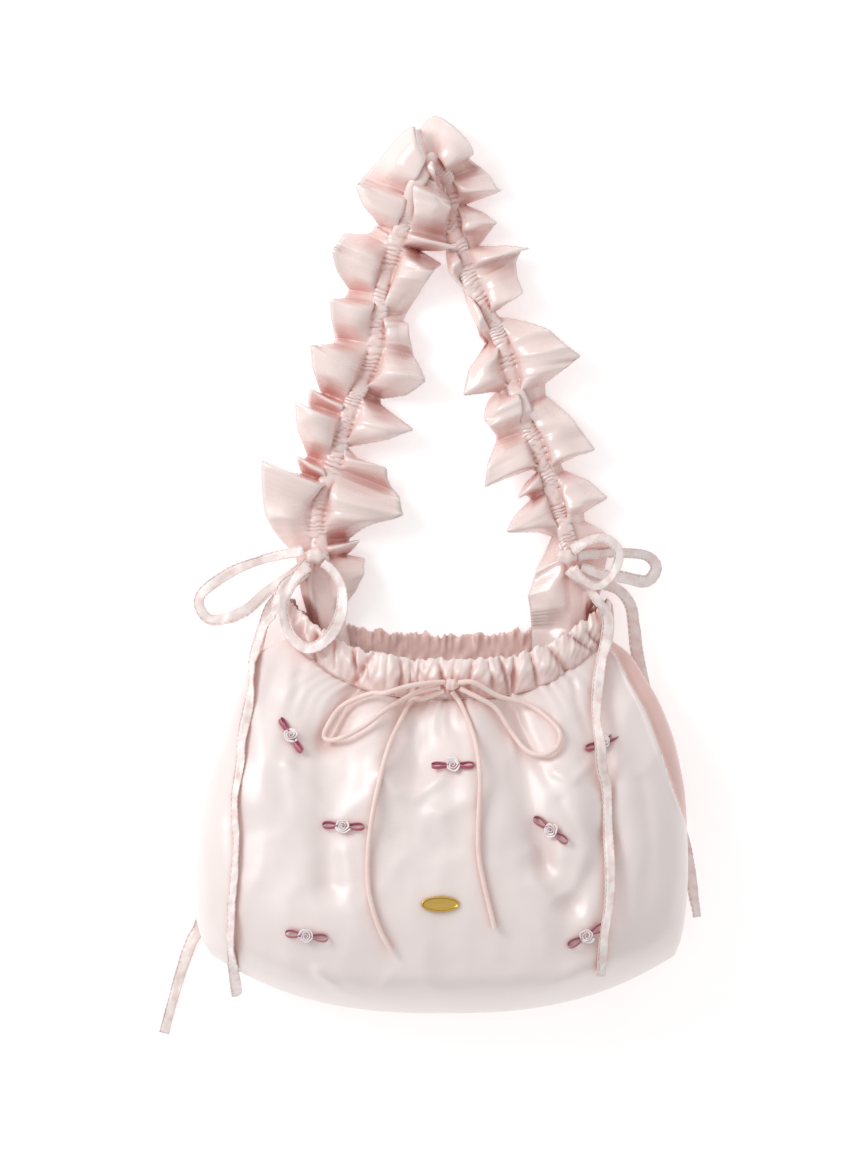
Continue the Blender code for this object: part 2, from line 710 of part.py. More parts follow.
def make_rose(name, leaves):
    """Rolled ribbon rose turned round its own axis, sitting on its leaves."""
    rose = bmesh.new()
    profile = [rose.verts.new((reach * ROSE_WIDTH, 0, rise * ROSE_HEIGHT))
               for reach, rise in ROSE_PROFILE]
    edges = [rose.edges.new(pair) for pair in zip(profile, profile[1:])]
    bmesh.ops.spin(rose, geom=profile + edges, cent=(0, 0, 0), axis=(0, 0, 1),
                   angle=2 * pi, steps=ROSE_STEPS, use_merge=True)
    bmesh.ops.remove_doubles(rose, verts=rose.verts, dist=MERGE)
    item = place_mesh(name, rose, rose_pink)
    item.matrix_basis = leaves.matrix_basis @ Matrix.Translation((0, 0, LEAF_HEIGHT + FACE_GAP))


def make_plaque():
    """Oval metal plate with a raised rim, bare in the middle."""
    rings = []
    for inset_share, height_share in PLAQUE_RINGS:
        inset = inset_share * PLAQUE_RIM
        ring = []
        for step in range(PLAQUE_POINTS):
            angle = 2 * pi * step / PLAQUE_POINTS
            ring.append(Vector(((PLAQUE_LENGTH / 2 - inset) * cos(angle),
                                (PLAQUE_DEPTH / 2 - inset) * sin(angle),
                                height_share * PLAQUE_HEIGHT)))
        rings.append(ring)
    plate = loft(rings, True)
    plate.verts.ensure_lookup_table()
    plate.faces.new(plate.verts[:PLAQUE_POINTS])
    plate.faces.new(plate.verts[-PLAQUE_POINTS:])
    item = place_mesh("plaque", plate, brass, smooth=False)
    on_front(item, PLAQUE)


for old in list(bpy.data.objects):
    bpy.data.objects.remove(old, do_unlink=True)

part = make_collection("satin_bucket_bag")
root = bpy.data.objects.new("satin_bucket_bag", None)
part.objects.link(root)

satin = make_material("blush_satin", SATIN, 0.32)
tie_satin = make_material("tie_satin", SATIN_SHADE, 0.35)
rattail = make_material("rattail_cord", RATTAIL, 0.35)
rose_pink = make_material("rose_ribbon", ROSE_PINK, 0.45)
leaf_red = make_material("leaf_ribbon", LEAF_RED, 0.40)
brass = make_material("plaque_brass", BRASS, 0.30, 1.0)

bag = make_bag()
make_casing()
make_strap()
for name, (over, picks) in TIES.items():
    make_tie(name, over, picks)
for name, picks in CORDS.items():
    make_cord(name, picks)
make_knot("left_tie_knot", LEFT_KNOT, TIE_KNOT, tie_satin)
make_knot("right_tie_knot", RIGHT_KNOT, TIE_KNOT, tie_satin)
make_knot("bow_knot", BOW_KNOT, CORD_KNOT, rattail)
for number, pick in enumerate(ROSETTES, 1):
    leaves = make_leaves("rosette_%d_leaves" % number, pick)
    make_rose("rosette_%d_rose" % number, leaves)
make_plaque()
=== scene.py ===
# Blush satin bucket bag with a shirred ruffle strap, laid on its back and seen from above.
import bpy
import bmesh
import numpy as np
from math import atan2, cos, exp, hypot, pi, radians, sin, sqrt
from mathutils import Matrix, Vector, noise
from mathutils.bvhtree import BVHTree


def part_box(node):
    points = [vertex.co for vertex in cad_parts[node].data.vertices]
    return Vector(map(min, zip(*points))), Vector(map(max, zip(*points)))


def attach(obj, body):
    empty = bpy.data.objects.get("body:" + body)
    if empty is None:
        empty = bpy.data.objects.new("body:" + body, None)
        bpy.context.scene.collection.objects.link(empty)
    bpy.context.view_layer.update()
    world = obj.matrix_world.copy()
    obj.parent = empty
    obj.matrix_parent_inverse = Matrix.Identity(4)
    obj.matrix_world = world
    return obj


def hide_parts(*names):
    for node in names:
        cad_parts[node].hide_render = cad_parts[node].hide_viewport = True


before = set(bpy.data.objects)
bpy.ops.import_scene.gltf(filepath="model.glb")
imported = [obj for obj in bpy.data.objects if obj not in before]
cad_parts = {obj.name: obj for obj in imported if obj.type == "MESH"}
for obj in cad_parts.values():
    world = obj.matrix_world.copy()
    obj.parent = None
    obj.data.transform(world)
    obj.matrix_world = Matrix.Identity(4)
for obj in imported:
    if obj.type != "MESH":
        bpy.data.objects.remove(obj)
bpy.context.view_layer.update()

# One pick of the photo in metres, and the pick over the origin.
photo = {"across": 0.306 / 493.5, "up": 0.221 / 356.5, "column": 440.5, "row": 563.9}


def plan(column, row):
    return (column - photo["column"]) * photo["across"], (photo["row"] - row) * photo["up"]


def pickAt(x, y):
    return photo["column"] + x / photo["across"], photo["row"] - y / photo["up"]


def within(value, low=0.0, high=1.0):
    return min(max(value, low), high)


def noiseAt(x, y, z=0):
    return noise.noise(Vector((x, y, z)))


def newObject(name, data):
    made = bpy.data.objects.new(name, data)
    bpy.context.scene.collection.objects.link(made)
    return made


# Camera: far above with a long lens, so that the picture is nearly flat.
view = {"distance": 9.0, "middle": (431, 575), "rows": 1150, "sensor": 36.0, "farthest": 30}
camera = newObject("camera", bpy.data.cameras.new("camera"))
camera.location = (*plan(*view["middle"]), view["distance"])
camera.data.sensor_width = view["sensor"]
camera.data.lens = view["sensor"] * view["distance"] / (view["rows"] * photo["up"])
camera.data.clip_end = view["farthest"]
bpy.context.scene.camera = camera
bpy.context.scene.view_settings.view_transform = "Standard"

# Bag shell: sizes, stations (rise, left, right, height, fullness), rim and base lines.
shell = {"height": 0.080, "side": 0.031, "base": 0.026, "round": 0.13, "fade": 0.2,
         "fill": 1.08, "cloth": 0.0016, "casing": 0.0245, "seam": 0.0013,
         "baseLine": (1012, 58, 2.6), "frontLine": (697, 60, 2.8), "backLine": (672, 32, 2.8)}
stations = (
    (0.00, 212, 674, 0.75, 2.80), (0.05, 203, 680, 0.86, 2.80), (0.13, 196.5, 684.5, 0.94, 2.70),
    (0.25, 194, 687, 1.00, 2.60), (0.37, 195, 686.5, 1.00, 2.50), (0.51, 202, 684, 0.97, 2.40),
    (0.60, 209, 679, 0.95, 2.35), (0.69, 219, 672, 0.90, 2.30), (0.80, 232, 658, 0.80, 2.20),
    (0.88, 243, 643, 0.70, 2.15), (0.95, 258, 628, 0.62, 2.10), (1.00, 290, 606, 0.55, 2.10))
# Broad drape folds: start pick, end pick, half width in picks, height in eightieths of
# the bag's height.
broadFolds = (
    (352, 692, 322, 745, 12, -5), (326, 745, 330, 880, 16, -6), (285, 690, 255, 800, 22, 5),
    (385, 700, 372, 790, 16, 4), (415, 705, 420, 800, 16, -4), (480, 705, 470, 790, 18, 4),
    (510, 715, 540, 860, 14, -5), (562, 720, 575, 850, 18, 5), (607, 700, 600, 830, 14, -4),
    (540, 860, 570, 900, 16, -4), (570, 900, 605, 840, 14, -3))


def inParts(height):
    # heights in the tables are eightieths of the bag's height
    return height / 80 * shell["height"]


def blend(table, column, place):
    last = len(table) - 1
    place = within(place, table[0][0], table[last][0])
    index = 0
    while place > table[index + 1][0]:
        index += 1
    low, high = table[index], table[index + 1]
    before, after = table[max(index - 1, 0)], table[min(index + 2, last)]
    span = high[0] - low[0]
    share = (place - low[0]) / span
    enter = (high[column] - before[column]) / (high[0] - before[0]) * span
    leave = (after[column] - low[column]) / (after[0] - low[0]) * span
    square, cube = share ** 2, share ** 3
    return ((2 * cube - 3 * square + 1) * low[column] + (cube - 2 * square + share) * enter
            + (3 * square - 2 * cube) * high[column] + (cube - square) * leave)


def lineRow(line, side):
    return line[0] - line[1] * abs(side) ** line[2]


def awayFromLine(x, y, start, end):
    # distance from a straight line between two picks, its ends rounded
    startX, startY = plan(*start)
    endX, endY = plan(*end)
    runX, runY = endX - startX, endY - startY
    length = hypot(runX, runY)
    share = ((x - startX) * runX + (y - startY) * runY) / length ** 2
    aside = abs((x - startX) * runY - (y - startY) * runX) / length
    beyond = max(0.0, -share, share - 1) * length
    return hypot(aside, beyond)


def broadHeight(x, y):
    total = 0.0
    for startColumn, startRow, endColumn, endRow, width, height in broadFolds:
        away = awayFromLine(x, y, (startColumn, startRow), (endColumn, endRow))
        total += inParts(height) * exp(-(away / (width * photo["across"])) ** 2)
    return total


def skinPoint(side, rise, top):
    left, right = blend(stations, 1, rise), blend(stations, 2, rise)
    full, power = blend(stations, 3, rise), blend(stations, 4, rise)
    base = lineRow(shell["baseLine"], side)
    rim = lineRow(shell["frontLine" if top else "backLine"], side)
    x, y = plan((left + right) / 2 + (right - left) / 2 * side, base + (rim - base) * rise)
    opened = sqrt(1 - max(0.0, 1 - rise / shell["round"]) ** 2)
    edge = shell["base"] + (shell["side"] * full - shell["base"]) * opened
    if top:
        dome = max(0.0, 1 - abs(side) ** power) ** (1 / power)
        z = edge + (full * shell["height"] - edge) * opened * dome
        z += broadHeight(x, y) * (1 - side ** 4) * min(1.0, rise / shell["fade"])
    else:
        flat = max(0.0, 1 - side ** 4) ** 0.25
        z = edge * (1 - min(1.0, shell["fill"] * flat) * opened)
    return Vector((x, y, z))


# The cover under ties and cords: tries for the place, how far it may lie past the sides,
# the casing's thickness, the fade past the outline and the step for a slope.
cover = {"tries": 24, "past": 1.3, "casing": 0.0043, "fade": 0.012, "step": 0.003}


def coverHeight(x, y):
    column, row = pickAt(x, y)
    side, rise = 0.0, 0.5
    for _ in range(cover["tries"]):
        base = lineRow(shell["baseLine"], side)
        rise = (base - row) / (base - lineRow(shell["frontLine"], side))
        left, right = blend(stations, 1, rise), blend(stations, 2, rise)
        there = (column - (left + right) / 2) / ((right - left) / 2)
        side = (side + within(there, -cover["past"], cover["past"])) / 2
    spot = skinPoint(within(side, -1.0), within(rise), True)
    beyond = hypot(x - spot.x, y - spot.y)
    if rise > 1:
        beyond = max(0.0, beyond - shell["casing"])
        spot.z += cover["casing"]
    return spot.z * max(0.0, 1 - beyond / cover["fade"])


def coverNormal(x, y):
    step = cover["step"]
    slopeX = (coverHeight(x + step, y) - coverHeight(x - step, y)) / (2 * step)
    slopeY = (coverHeight(x, y + step) - coverHeight(x, y - step)) / (2 * step)
    return Vector((-slopeX, -slopeY, 1)).normalized()


def lengthsAlong(route):
    reach = [0.0]
    for low, high in zip(route, route[1:]):
        reach.append(reach[-1] + (high - low).length)
    return reach


def smoothRoute(route, samples, fineness=12):
    ends = [route[0] * 2 - route[1], *route, route[-1] * 2 - route[-2]]
    fine = []
    for before, low, high, after in zip(ends, ends[1:], ends[2:], ends[3:]):
        for step in range(fineness):
            share = step / fineness
            fine.append(0.5 * (2 * low + (high - before) * share
                               + (2 * before - 5 * low + 4 * high - after) * share ** 2
                               + (3 * low - before - 3 * high + after) * share ** 3))
    fine.append(route[-1])
    reach = lengthsAlong(fine)
    spots, index = [], 0
    for step in range(samples):
        target = reach[-1] * step / (samples - 1)
        while index < len(fine) - 2 and reach[index + 1] < target:
            index += 1
        share = (target - reach[index]) / (reach[index + 1] - reach[index])
        spots.append(fine[index].lerp(fine[index + 1], share))
    return spots


# Routes of the ribbon ties: heights from the skin (else from the floor), then
# column, row and height in eightieths of the bag's height.
tieRoutes = {
    "left_tie_side_loop": (False, (
        (304, 550, 30), (296, 552, 28), (264, 559, 18), (233, 571, 9), (205, 590, 6),
        (199, 605, 5.5), (212, 620, 5.5), (243, 612, 10), (267, 592, 16.5),
        (288, 577, 21.5), (305, 565, 24.2))),
    "left_tie_front_loop": (False, (
        (323, 563, 31), (335, 573, 32), (342, 590, 34), (341, 615, 39), (328, 638, 44),
        (308, 648, 43), (290, 633, 38), (284, 604, 33.5), (297, 578, 32.7),
        (309, 566, 32.2))),
    "left_tie_front_tail": (True, (
        (308, 561, 27.6), (297, 575, 27.0), (284, 592, 14.5), (274, 612, 9.5),
        (266, 633, 5), (256, 664, 3.4), (253, 695, 3.0), (245, 737, 2.8),
        (243, 764, 2.8), (238, 799, 2.8), (239, 840, 2.8), (237, 875, 2.8),
        (235, 902, 2.8), (235, 944, 3.0), (240, 990, 5))),
    "left_tie_rear_tail": (False, (
        (307, 571, 21.6), (300, 578, 20.6), (284, 590, 15.5), (270, 606, 9),
        (262, 630, 3.5), (256, 653, 1.3), (250, 677, 1), (240, 700, 1), (226, 737, 1),
        (208, 792, 1), (201, 833, 1), (200, 873, 1), (201, 920, 1), (191, 942, 1),
        (181, 971, 1), (171, 1006, 1), (164, 1033, 1))),
    "right_tie_near_loop": (False, (
        (571.5, 550.5, 31.3), (588, 541, 33.5), (606, 539, 34), (618, 552, 34),
        (613, 572, 34), (598, 586, 34), (583, 580, 34), (573, 567, 33.5))),
    "right_tie_side_loop": (False, (
        (577, 556, 27.5), (600, 554, 24), (625, 553, 16), (647, 556, 7), (656, 568, 4.5),
        (646, 581, 4.5), (622, 577, 17), (600, 574, 22), (581, 567, 24.8))),
    "right_tie_front_tail": (True, (
        (568, 569, 27.8), (578, 579, 27.6), (588, 590, 20.5), (597, 601, 13.5),
        (603, 617, 8.9), (603, 640, 6.3), (600, 663, 5.7), (594, 697, 4.8),
        (594, 722, 10.5), (596, 745, 16.1), (599, 768, 10.5), (605, 790, 4.3),
        (607, 830, 3.9), (608, 863, 3.9), (606, 900, 5.1), (602, 930, 8.7),
        (597, 968, 4.5))),
    "right_tie_rear_tail": (False, (
        (576, 573, 22), (588, 579, 20.5), (602, 584, 18.6), (618, 590, 10),
        (630, 605, 4), (634, 628, 2), (637, 653, 1.3), (646, 688, 1), (658, 716, 1),
        (668, 745, 1), (674, 780, 1), (679, 815, 1), (685, 845, 1), (691, 880, 1),
        (697, 917, 1))),
}
cordRoutes = {
    "bow_left_loop": (
        (445, 681.4, 6), (425, 683, 12.7), (404, 686, 13.2), (385, 690, 11.7),
        (372, 695, 8.2), (343, 709, 5.2), (324, 727, 4.6), (325, 739, 4.6),
        (343, 741, 4.6), (365, 730, 5.2), (385, 711, 7.6), (402, 697, 8.8),
        (422, 690, 8.8), (441, 686.5, 5.4)),
    "bow_right_loop": (
        (459, 682, 6.5), (474, 682, 6.5), (496, 691, 5.5), (528, 706, 4.1),
        (550, 721, 3.7), (560, 736, 3.7), (556, 750, 3.7), (543, 756, 3.7),
        (528, 751, 3.9), (509, 735, 4.5), (492, 710, 4.5), (478, 694, 3.9),
        (461, 688, 3.1)),
    "bow_left_tail": (
        (444.4, 690.2, 3.2), (425, 696, 2.7), (410, 702, 3.6), (399, 720, 4),
        (386, 752, 4.2), (375, 800, 3.8), (369, 850, 3.6), (370, 890, 3.4),
        (380, 925, 3.2), (392, 947, 3.2)),
    "bow_right_tail": (
        (452.6, 691.4, 3.6), (460, 703, 2.9), (469, 722, 3), (475, 745, 5),
        (478, 765, 7.9), (478, 785, 5.1), (478, 815, 3.5), (478, 850, 3.3),
        (483, 880, 3.1), (494, 925, 3.1)),
}


# A stretch that lies on the puffed casing is lifted nearly straight up.
loft = {"from": 6, "upright": 0.7, "least": 0.7}


def routePoints(over, picks):
    points = []
    for column, row, height in picks:
        x, y = plan(column, row)
        spot, lift = Vector((x, y, 0)), Vector((0, 0, 1))
        if over:
            spot.z = coverHeight(x, y)
            lift = coverNormal(x, y)
            lift.z = max(lift.z, loft["least"])
            if height > loft["from"]:
                lift = lift.lerp(Vector((0, 0, 1)), loft["upright"])
        points.append(spot + lift * inParts(height))
    return points


def hexColour(code):
    # sRGB to linear
    parts = [int(code[start:start + 2], 16) / 255 for start in (1, 3, 5)]
    linear = [part / 12.92 if part <= 0.04045 else ((part + 0.055) / 1.055) ** 2.4
              for part in parts]
    return (*linear, 1.0)


def addNode(tree, kind, links=None, **settings):
    node = tree.nodes.new("ShaderNode" + kind)
    for name, value in settings.items():
        if name in node.bl_rna.properties:
            setattr(node, name, value)
        else:
            node.inputs[name.replace("_", " ")].default_value = value
    for name, source in (links or {}).items():
        key = int(name[1:]) if name[1:].isdigit() else name.replace("_", " ")
        tree.links.new(source, node.inputs[key])
    return node


def mixed(tree, share, low, high):
    node = addNode(tree, "Mix", {"Factor": share}, data_type="RGBA")
    for socket, colour in ((6, low), (7, high)):
        if isinstance(colour, str):
            node.inputs[socket].default_value = hexColour(colour)
        else:
            tree.links.new(colour, node.inputs[socket])
    return node.outputs[2]


def worked(tree, operation, first, second=None):
    node = addNode(tree, "Math", {"A0": first}, operation=operation)
    if isinstance(second, float):
        node.inputs[1].default_value = second
    elif second is not None:
        tree.links.new(second, node.inputs[1])
    return node.outputs[0]


def newMaterial(name):
    material = bpy.data.materials.new(name)
    material.use_nodes = True
    tree = material.node_tree
    tree.nodes.clear()
    return material, tree


def finishMaterial(tree, links, **settings):
    shader = addNode(tree, "BsdfPrincipled", links, **settings)
    addNode(tree, "OutputMaterial", {"Surface": shader.outputs[0]})


# What all the satins share: ridges painted paler as a highlight, warp and weft threads, gloss.
weave = {"ridge": "#FFF6F3", "ridgeFrom": 0.52, "ridgeTo": 0.62, "warp": 1600.0,
         "weft": 900.0, "waver": 0.6, "threadDepth": 0.00005, "crushDepth": 0.001,
         "threadShows": 0.04, "glossLow": 0.06, "glossHigh": 0.08, "index": 1.58,
         "grain": 0.5, "sheenSpread": 0.4}


def satinCloth(name, look):
    material, tree = newMaterial(name)
    place = addNode(tree, "TexCoord").outputs["Object"]
    # painted shade: an occlusion mask tints hollows between folds a deeper pink, in place of shade
    # and light bounced from cloth to cloth
    hollow = addNode(tree, "AmbientOcclusion", samples=6, Distance=look["shadeReach"])
    paintedShadeMask = addNode(tree, "MapRange", {"Value": hollow.outputs["AO"]},
                         From_Min=look["shadeFrom"], From_Max=look["shadeTo"])
    paintedFoldShade = mixed(tree, paintedShadeMask.outputs[0], look["hollow"], look["colour"])
    # painted highlight: sharp fold edges are painted paler, as if they catch more light
    ridge = addNode(tree, "NewGeometry").outputs["Pointiness"]
    paintedHighlightMask = addNode(tree, "MapRange", {"Value": ridge}, From_Min=weave["ridgeFrom"],
                        From_Max=weave["ridgeTo"], To_Max=look["ridge"])
    pale = mixed(tree, paintedHighlightMask.outputs[0], paintedFoldShade, weave["ridge"])
    # slubs and soft crush marks change the gloss a little
    crush = addNode(tree, "TexNoise", {"Vector": place}, Scale=look["crushScale"], Detail=3.0)
    gloss = addNode(tree, "MapRange", {"Value": crush.outputs["Fac"]},
                    To_Min=look["roughness"] - weave["glossLow"],
                    To_Max=look["roughness"] + weave["glossHigh"])
    # fine warp threads float over the weft
    warp = addNode(tree, "TexWave", {"Vector": place}, bands_direction="X",
                   Scale=weave["warp"], Distortion=weave["waver"])
    weft = addNode(tree, "TexWave", {"Vector": place}, bands_direction="Y",
                   Scale=weave["weft"], Distortion=weave["waver"])
    threads = worked(tree, "ADD", warp.outputs["Fac"], weft.outputs["Fac"])
    fine = addNode(tree, "Bump", {"Height": threads}, Strength=weave["threadShows"],
                   Distance=weave["threadDepth"])
    soft = addNode(tree, "Bump", {"Height": crush.outputs["Fac"], "Normal": fine.outputs[0]},
                   Strength=look["crush"], Distance=weave["crushDepth"])
    finishMaterial(tree, {
        "Base_Color": pale, "Roughness": gloss.outputs[0], "Normal": soft.outputs[0]},
        IOR=weave["index"], Specular_IOR_Level=look["shine"], Anisotropic=weave["grain"],
        Sheen_Weight=look["sheen"], Sheen_Roughness=weave["sheenSpread"])
    return material


def stitchedSatin(name, look):
    material, tree = newMaterial(name)
    place = addNode(tree, "TexCoord")
    split = addNode(tree, "SeparateXYZ", {"Vector": place.outputs["UV"]})
    # dashes 2 mm long follow one edge where the tube is sewn shut
    along = worked(tree, "FRACT", split.outputs["X"])
    dash = worked(tree, "LESS_THAN", along, look["dash"])
    off = worked(tree, "SUBTRACT", split.outputs["Y"], look["seamAt"])
    near = worked(tree, "LESS_THAN", worked(tree, "ABSOLUTE", off), look["seamHalf"])
    stitch = worked(tree, "MULTIPLY", dash, near)
    crumple = addNode(tree, "TexNoise", {"Vector": place.outputs["Object"]},
                      Scale=look["crumpleScale"], Detail=2.0)
    cloud = addNode(tree, "MapRange", {"Value": crumple.outputs["Fac"]},
                    From_Min=look["cloudFrom"], From_Max=look["cloudTo"])
    cloth = mixed(tree, cloud.outputs[0], look["hollow"], look["colour"])
    # painted shade: both folded edges are painted pinker than the flat
    aside = addNode(tree, "MapRange", {"Value": split.outputs["Y"]}, To_Min=-1.0)
    fold = worked(tree, "POWER", worked(tree, "ABSOLUTE", aside.outputs[0]), look["foldPower"])
    paintedEdgeShade = worked(tree, "MULTIPLY", fold, look["paintedEdgeShade"])
    cloth = mixed(tree, paintedEdgeShade, cloth, look["threadAndEdgeShade"])
    seam = worked(tree, "MULTIPLY", stitch, look["threadShows"])
    colour = mixed(tree, seam, cloth, look["threadAndEdgeShade"])
    relief = addNode(tree, "Bump", {"Height": crumple.outputs["Fac"]}, Strength=look["relief"],
                     Distance=look["reliefDepth"])
    finishMaterial(tree, {"Base_Color": colour, "Normal": relief.outputs[0]},
                   Roughness=look["roughness"], IOR=look["index"], Sheen_Weight=look["sheen"])
    return material


def rattailCord(name, look):
    material, tree = newMaterial(name)
    place = addNode(tree, "TexCoord").outputs["Object"]
    # the satin wrap runs round the cord in fine ribs
    ribs = addNode(tree, "TexWave", {"Vector": place}, bands_direction="DIAGONAL",
                   Scale=look["ribs"], Distortion=look["ribWaver"])
    patch = addNode(tree, "TexNoise", {"Vector": place}, Scale=look["patchScale"], Detail=3.0)
    cloth = mixed(tree, patch.outputs["Fac"], look["hollow"], look["colour"])
    relief = addNode(tree, "Bump", {"Height": ribs.outputs["Fac"]}, Strength=look["relief"],
                     Distance=look["reliefDepth"])
    finishMaterial(tree, {"Base_Color": cloth, "Normal": relief.outputs[0]},
                   Roughness=look["roughness"], IOR=look["index"], Sheen_Weight=look["sheen"])
    return material


def brushedBrass(name, look):
    material, tree = newMaterial(name)
    place = addNode(tree, "TexCoord").outputs["Object"]
    grain = addNode(tree, "Mapping", {"Vector": place})
    grain.inputs["Scale"].default_value = look["grain"]
    brush = addNode(tree, "TexNoise", {"Vector": grain.outputs[0]}, Scale=1.0, Detail=3.0)
    gloss = addNode(tree, "MapRange", {"Value": brush.outputs["Fac"]},
                    To_Min=look["roughness"], To_Max=look["roughest"])
    tone = mixed(tree, brush.outputs["Fac"], look["dark"], look["colour"])
    relief = addNode(tree, "Bump", {"Height": brush.outputs["Fac"]}, Strength=look["relief"],
                     Distance=look["reliefDepth"])
    finishMaterial(tree, {
        "Base_Color": tone, "Roughness": gloss.outputs[0], "Normal": relief.outputs[0]},
        Metallic=1.0)
    return material


# Duchess satin, near white where lit, with salmon shade painted into the folds.
blushSatin = satinCloth("blush_satin", {
    "colour": "#F7EAE7", "hollow": "#D6A89D", "shadeReach": 0.014, "shadeFrom": 0.20,
    "shadeTo": 0.90, "ridge": 0.5, "crushScale": 60.0, "crush": 0.06, "roughness": 0.38,
    "shine": 0.9, "sheen": 0.15})
# The same satin on the side that is turned away at the right, painted a deeper pink as its shade.
shadedSideSatin = satinCloth("shaded_side_satin", {
    "colour": "#EDC6BF", "hollow": "#B98078", "shadeReach": 0.010, "shadeFrom": 0.20,
    "shadeTo": 0.95, "ridge": 0.9, "crushScale": 140.0, "crush": 0.30, "roughness": 0.40,
    "shine": 0.6, "sheen": 0.15})
# The same satin on the strap, doubled; its folds are painted a deeper pink as shade.
strapSatin = satinCloth("strap_satin", {
    "colour": "#FBE6E1", "hollow": "#CB7C70", "shadeReach": 0.024, "shadeFrom": 0.16,
    "shadeTo": 0.94, "ridge": 0.9, "crushScale": 80.0, "crush": 0.06, "roughness": 0.25,
    "shine": 1.0, "sheen": 0.15})
# Casing cloth, crushed by its gathers, with pink shade painted into their hollows.
casingSatin = satinCloth("casing_satin", {
    "colour": "#F8E3DE", "hollow": "#CC8478", "shadeReach": 0.020, "shadeFrom": 0.15,
    "shadeTo": 0.88, "ridge": 0.8, "crushScale": 200.0, "crush": 0.18, "roughness": 0.36,
    "shine": 0.9, "sheen": 0.15})
# The same cloth seen on the inside of the mouth, painted a darker pink for its shade and bounced
# light.
shadedInnerSatin = satinCloth("casing_inside_shaded_satin", {
    "colour": "#EFC9C0", "hollow": "#B9695D", "shadeReach": 0.006, "shadeFrom": 0.15,
    "shadeTo": 0.95, "ridge": 0.4, "crushScale": 200.0, "crush": 0.18, "roughness": 0.36,
    "shine": 0.8, "sheen": 0.15})
# Narrow turned tubes of satin, sewn along an edge, with painted shade along their folded edges.
tieSatin = stitchedSatin("tie_satin", {
    "colour": "#FCF2EF", "hollow": "#F1D8D3", "threadAndEdgeShade": "#CF9C96", "seamAt": 0.14,
    "seamHalf": 0.035, "dash": 0.55, "threadShows": 0.55, "foldPower": 9.0, "paintedEdgeShade": 0.36,
    "crumpleScale": 150.0, "cloudFrom": 0.3, "cloudTo": 0.6, "relief": 0.3,
    "reliefDepth": 0.0008, "roughness": 0.32, "index": 1.5, "sheen": 0.25})
# Round cord wrapped in peach satin, slightly ribbed.
rattail = rattailCord("rattail_cord", {
    "colour": "#FCEBE6", "hollow": "#F5D3C9", "ribs": 420.0, "ribWaver": 1.5,
    "patchScale": 180.0, "relief": 0.25, "reliefDepth": 0.0003, "roughness": 0.34,
    "index": 1.5, "sheen": 0.3})
# Woven edge ribbon: pale lilac roses, mauve red leaves, both with shade painted into their creases.
roseRibbon = satinCloth("rose_ribbon", {
    "colour": "#FFF8FA", "hollow": "#EFCBD5", "shadeReach": 0.002, "shadeFrom": 0.0,
    "shadeTo": 0.45, "ridge": 0.5, "crushScale": 600.0, "crush": 0.15, "roughness": 0.42,
    "shine": 0.5, "sheen": 0.6})
leafRibbon = satinCloth("leaf_ribbon", {
    "colour": "#B5486A", "hollow": "#7A2A40", "shadeReach": 0.003, "shadeFrom": 0.2,
    "shadeTo": 0.9, "ridge": 0.25, "crushScale": 600.0, "crush": 0.15, "roughness": 0.3,
    "shine": 0.7, "sheen": 0.2})
# Brass plate, finely brushed along its length, which draws its highlight into streaks.
plaqueBrass = brushedBrass("plaque_brass", {
    "colour": "#F2D27C", "dark": "#CFA346", "grain": (90, 2600, 90), "relief": 0.15,
    "reliefDepth": 0.0002, "roughness": 0.18, "roughest": 0.43})
print("materials made")


def addPiece(name, data, material):
    data.materials.append(material)
    piece = newObject(name, data)
    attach(piece, "root")
    return piece


def gridMesh(name, rows, closeAcross=False, closeAlong=False, marks=None):
    across, along = len(rows[0]), len(rows)
    spots = [tuple(spot) for row in rows for spot in row]
    faces = []
    for low in range(along if closeAlong else along - 1):
        high = (low + 1) % along
        for index in range(across if closeAcross else across - 1):
            ahead = (index + 1) % across
            faces.append((low * across + index, low * across + ahead,
                          high * across + ahead, high * across + index))
    mesh = bpy.data.meshes.new(name)
    mesh.from_pydata(spots, [], faces)
    if marks is not None:
        layer = mesh.uv_layers.new(name="along")
        for loop in mesh.loops:
            layer.data[loop.index].uv = marks[loop.vertex_index]
    for face in mesh.polygons:
        face.use_smooth = True
    mesh.update()
    return mesh


def sealMesh(mesh, weld=0.0, caps=False):
    # joins points that meet, closes open ends and turns every face outward
    shape = bmesh.new()
    shape.from_mesh(mesh)
    if weld:
        bmesh.ops.remove_doubles(shape, verts=shape.verts, dist=weld)
    if caps:
        ends = [edge for edge in shape.edges if edge.is_boundary]
        bmesh.ops.holes_fill(shape, edges=ends, sides=0)
    bmesh.ops.recalc_face_normals(shape, faces=shape.faces)
    shape.to_mesh(mesh)
    shape.free()
    for face in mesh.polygons:
        face.use_smooth = True


def thicken(piece, thickness, offset=-1):
    wall = piece.modifiers.new("cloth", "SOLIDIFY")
    wall.thickness = thickness
    wall.offset = offset
    wall.use_even_offset = False


# Ribbon ties: flat tubes that narrow, roll and crumple a little on their way. A row of
# stitches draws the cloth in along one side and scallops both edges.
tie = {"width": 0.008, "thick": 0.0010, "step": 0.0016,
       "face": (-0.95, -0.84, -0.72, -0.60, -0.2, 0.25, 0.6, 0.84, 0.95), "stitch": 0.0034,
       "sewnAt": -0.72, "sewn": 0.2, "scallop": 0.00022, "twist": 0.9, "twistEvery": 45,
       "slim": 0.84, "slimRange": 0.36, "slimEvery": 22, "crumple": 0.0010,
       "crumpleAlong": 170, "crumpleAcross": 300, "clear": 0.0003, "underside": 0.0001,
       "settles": 0.008, "settled": 1.6, "knot": (0.0124, 0.0092, 0.0064)}


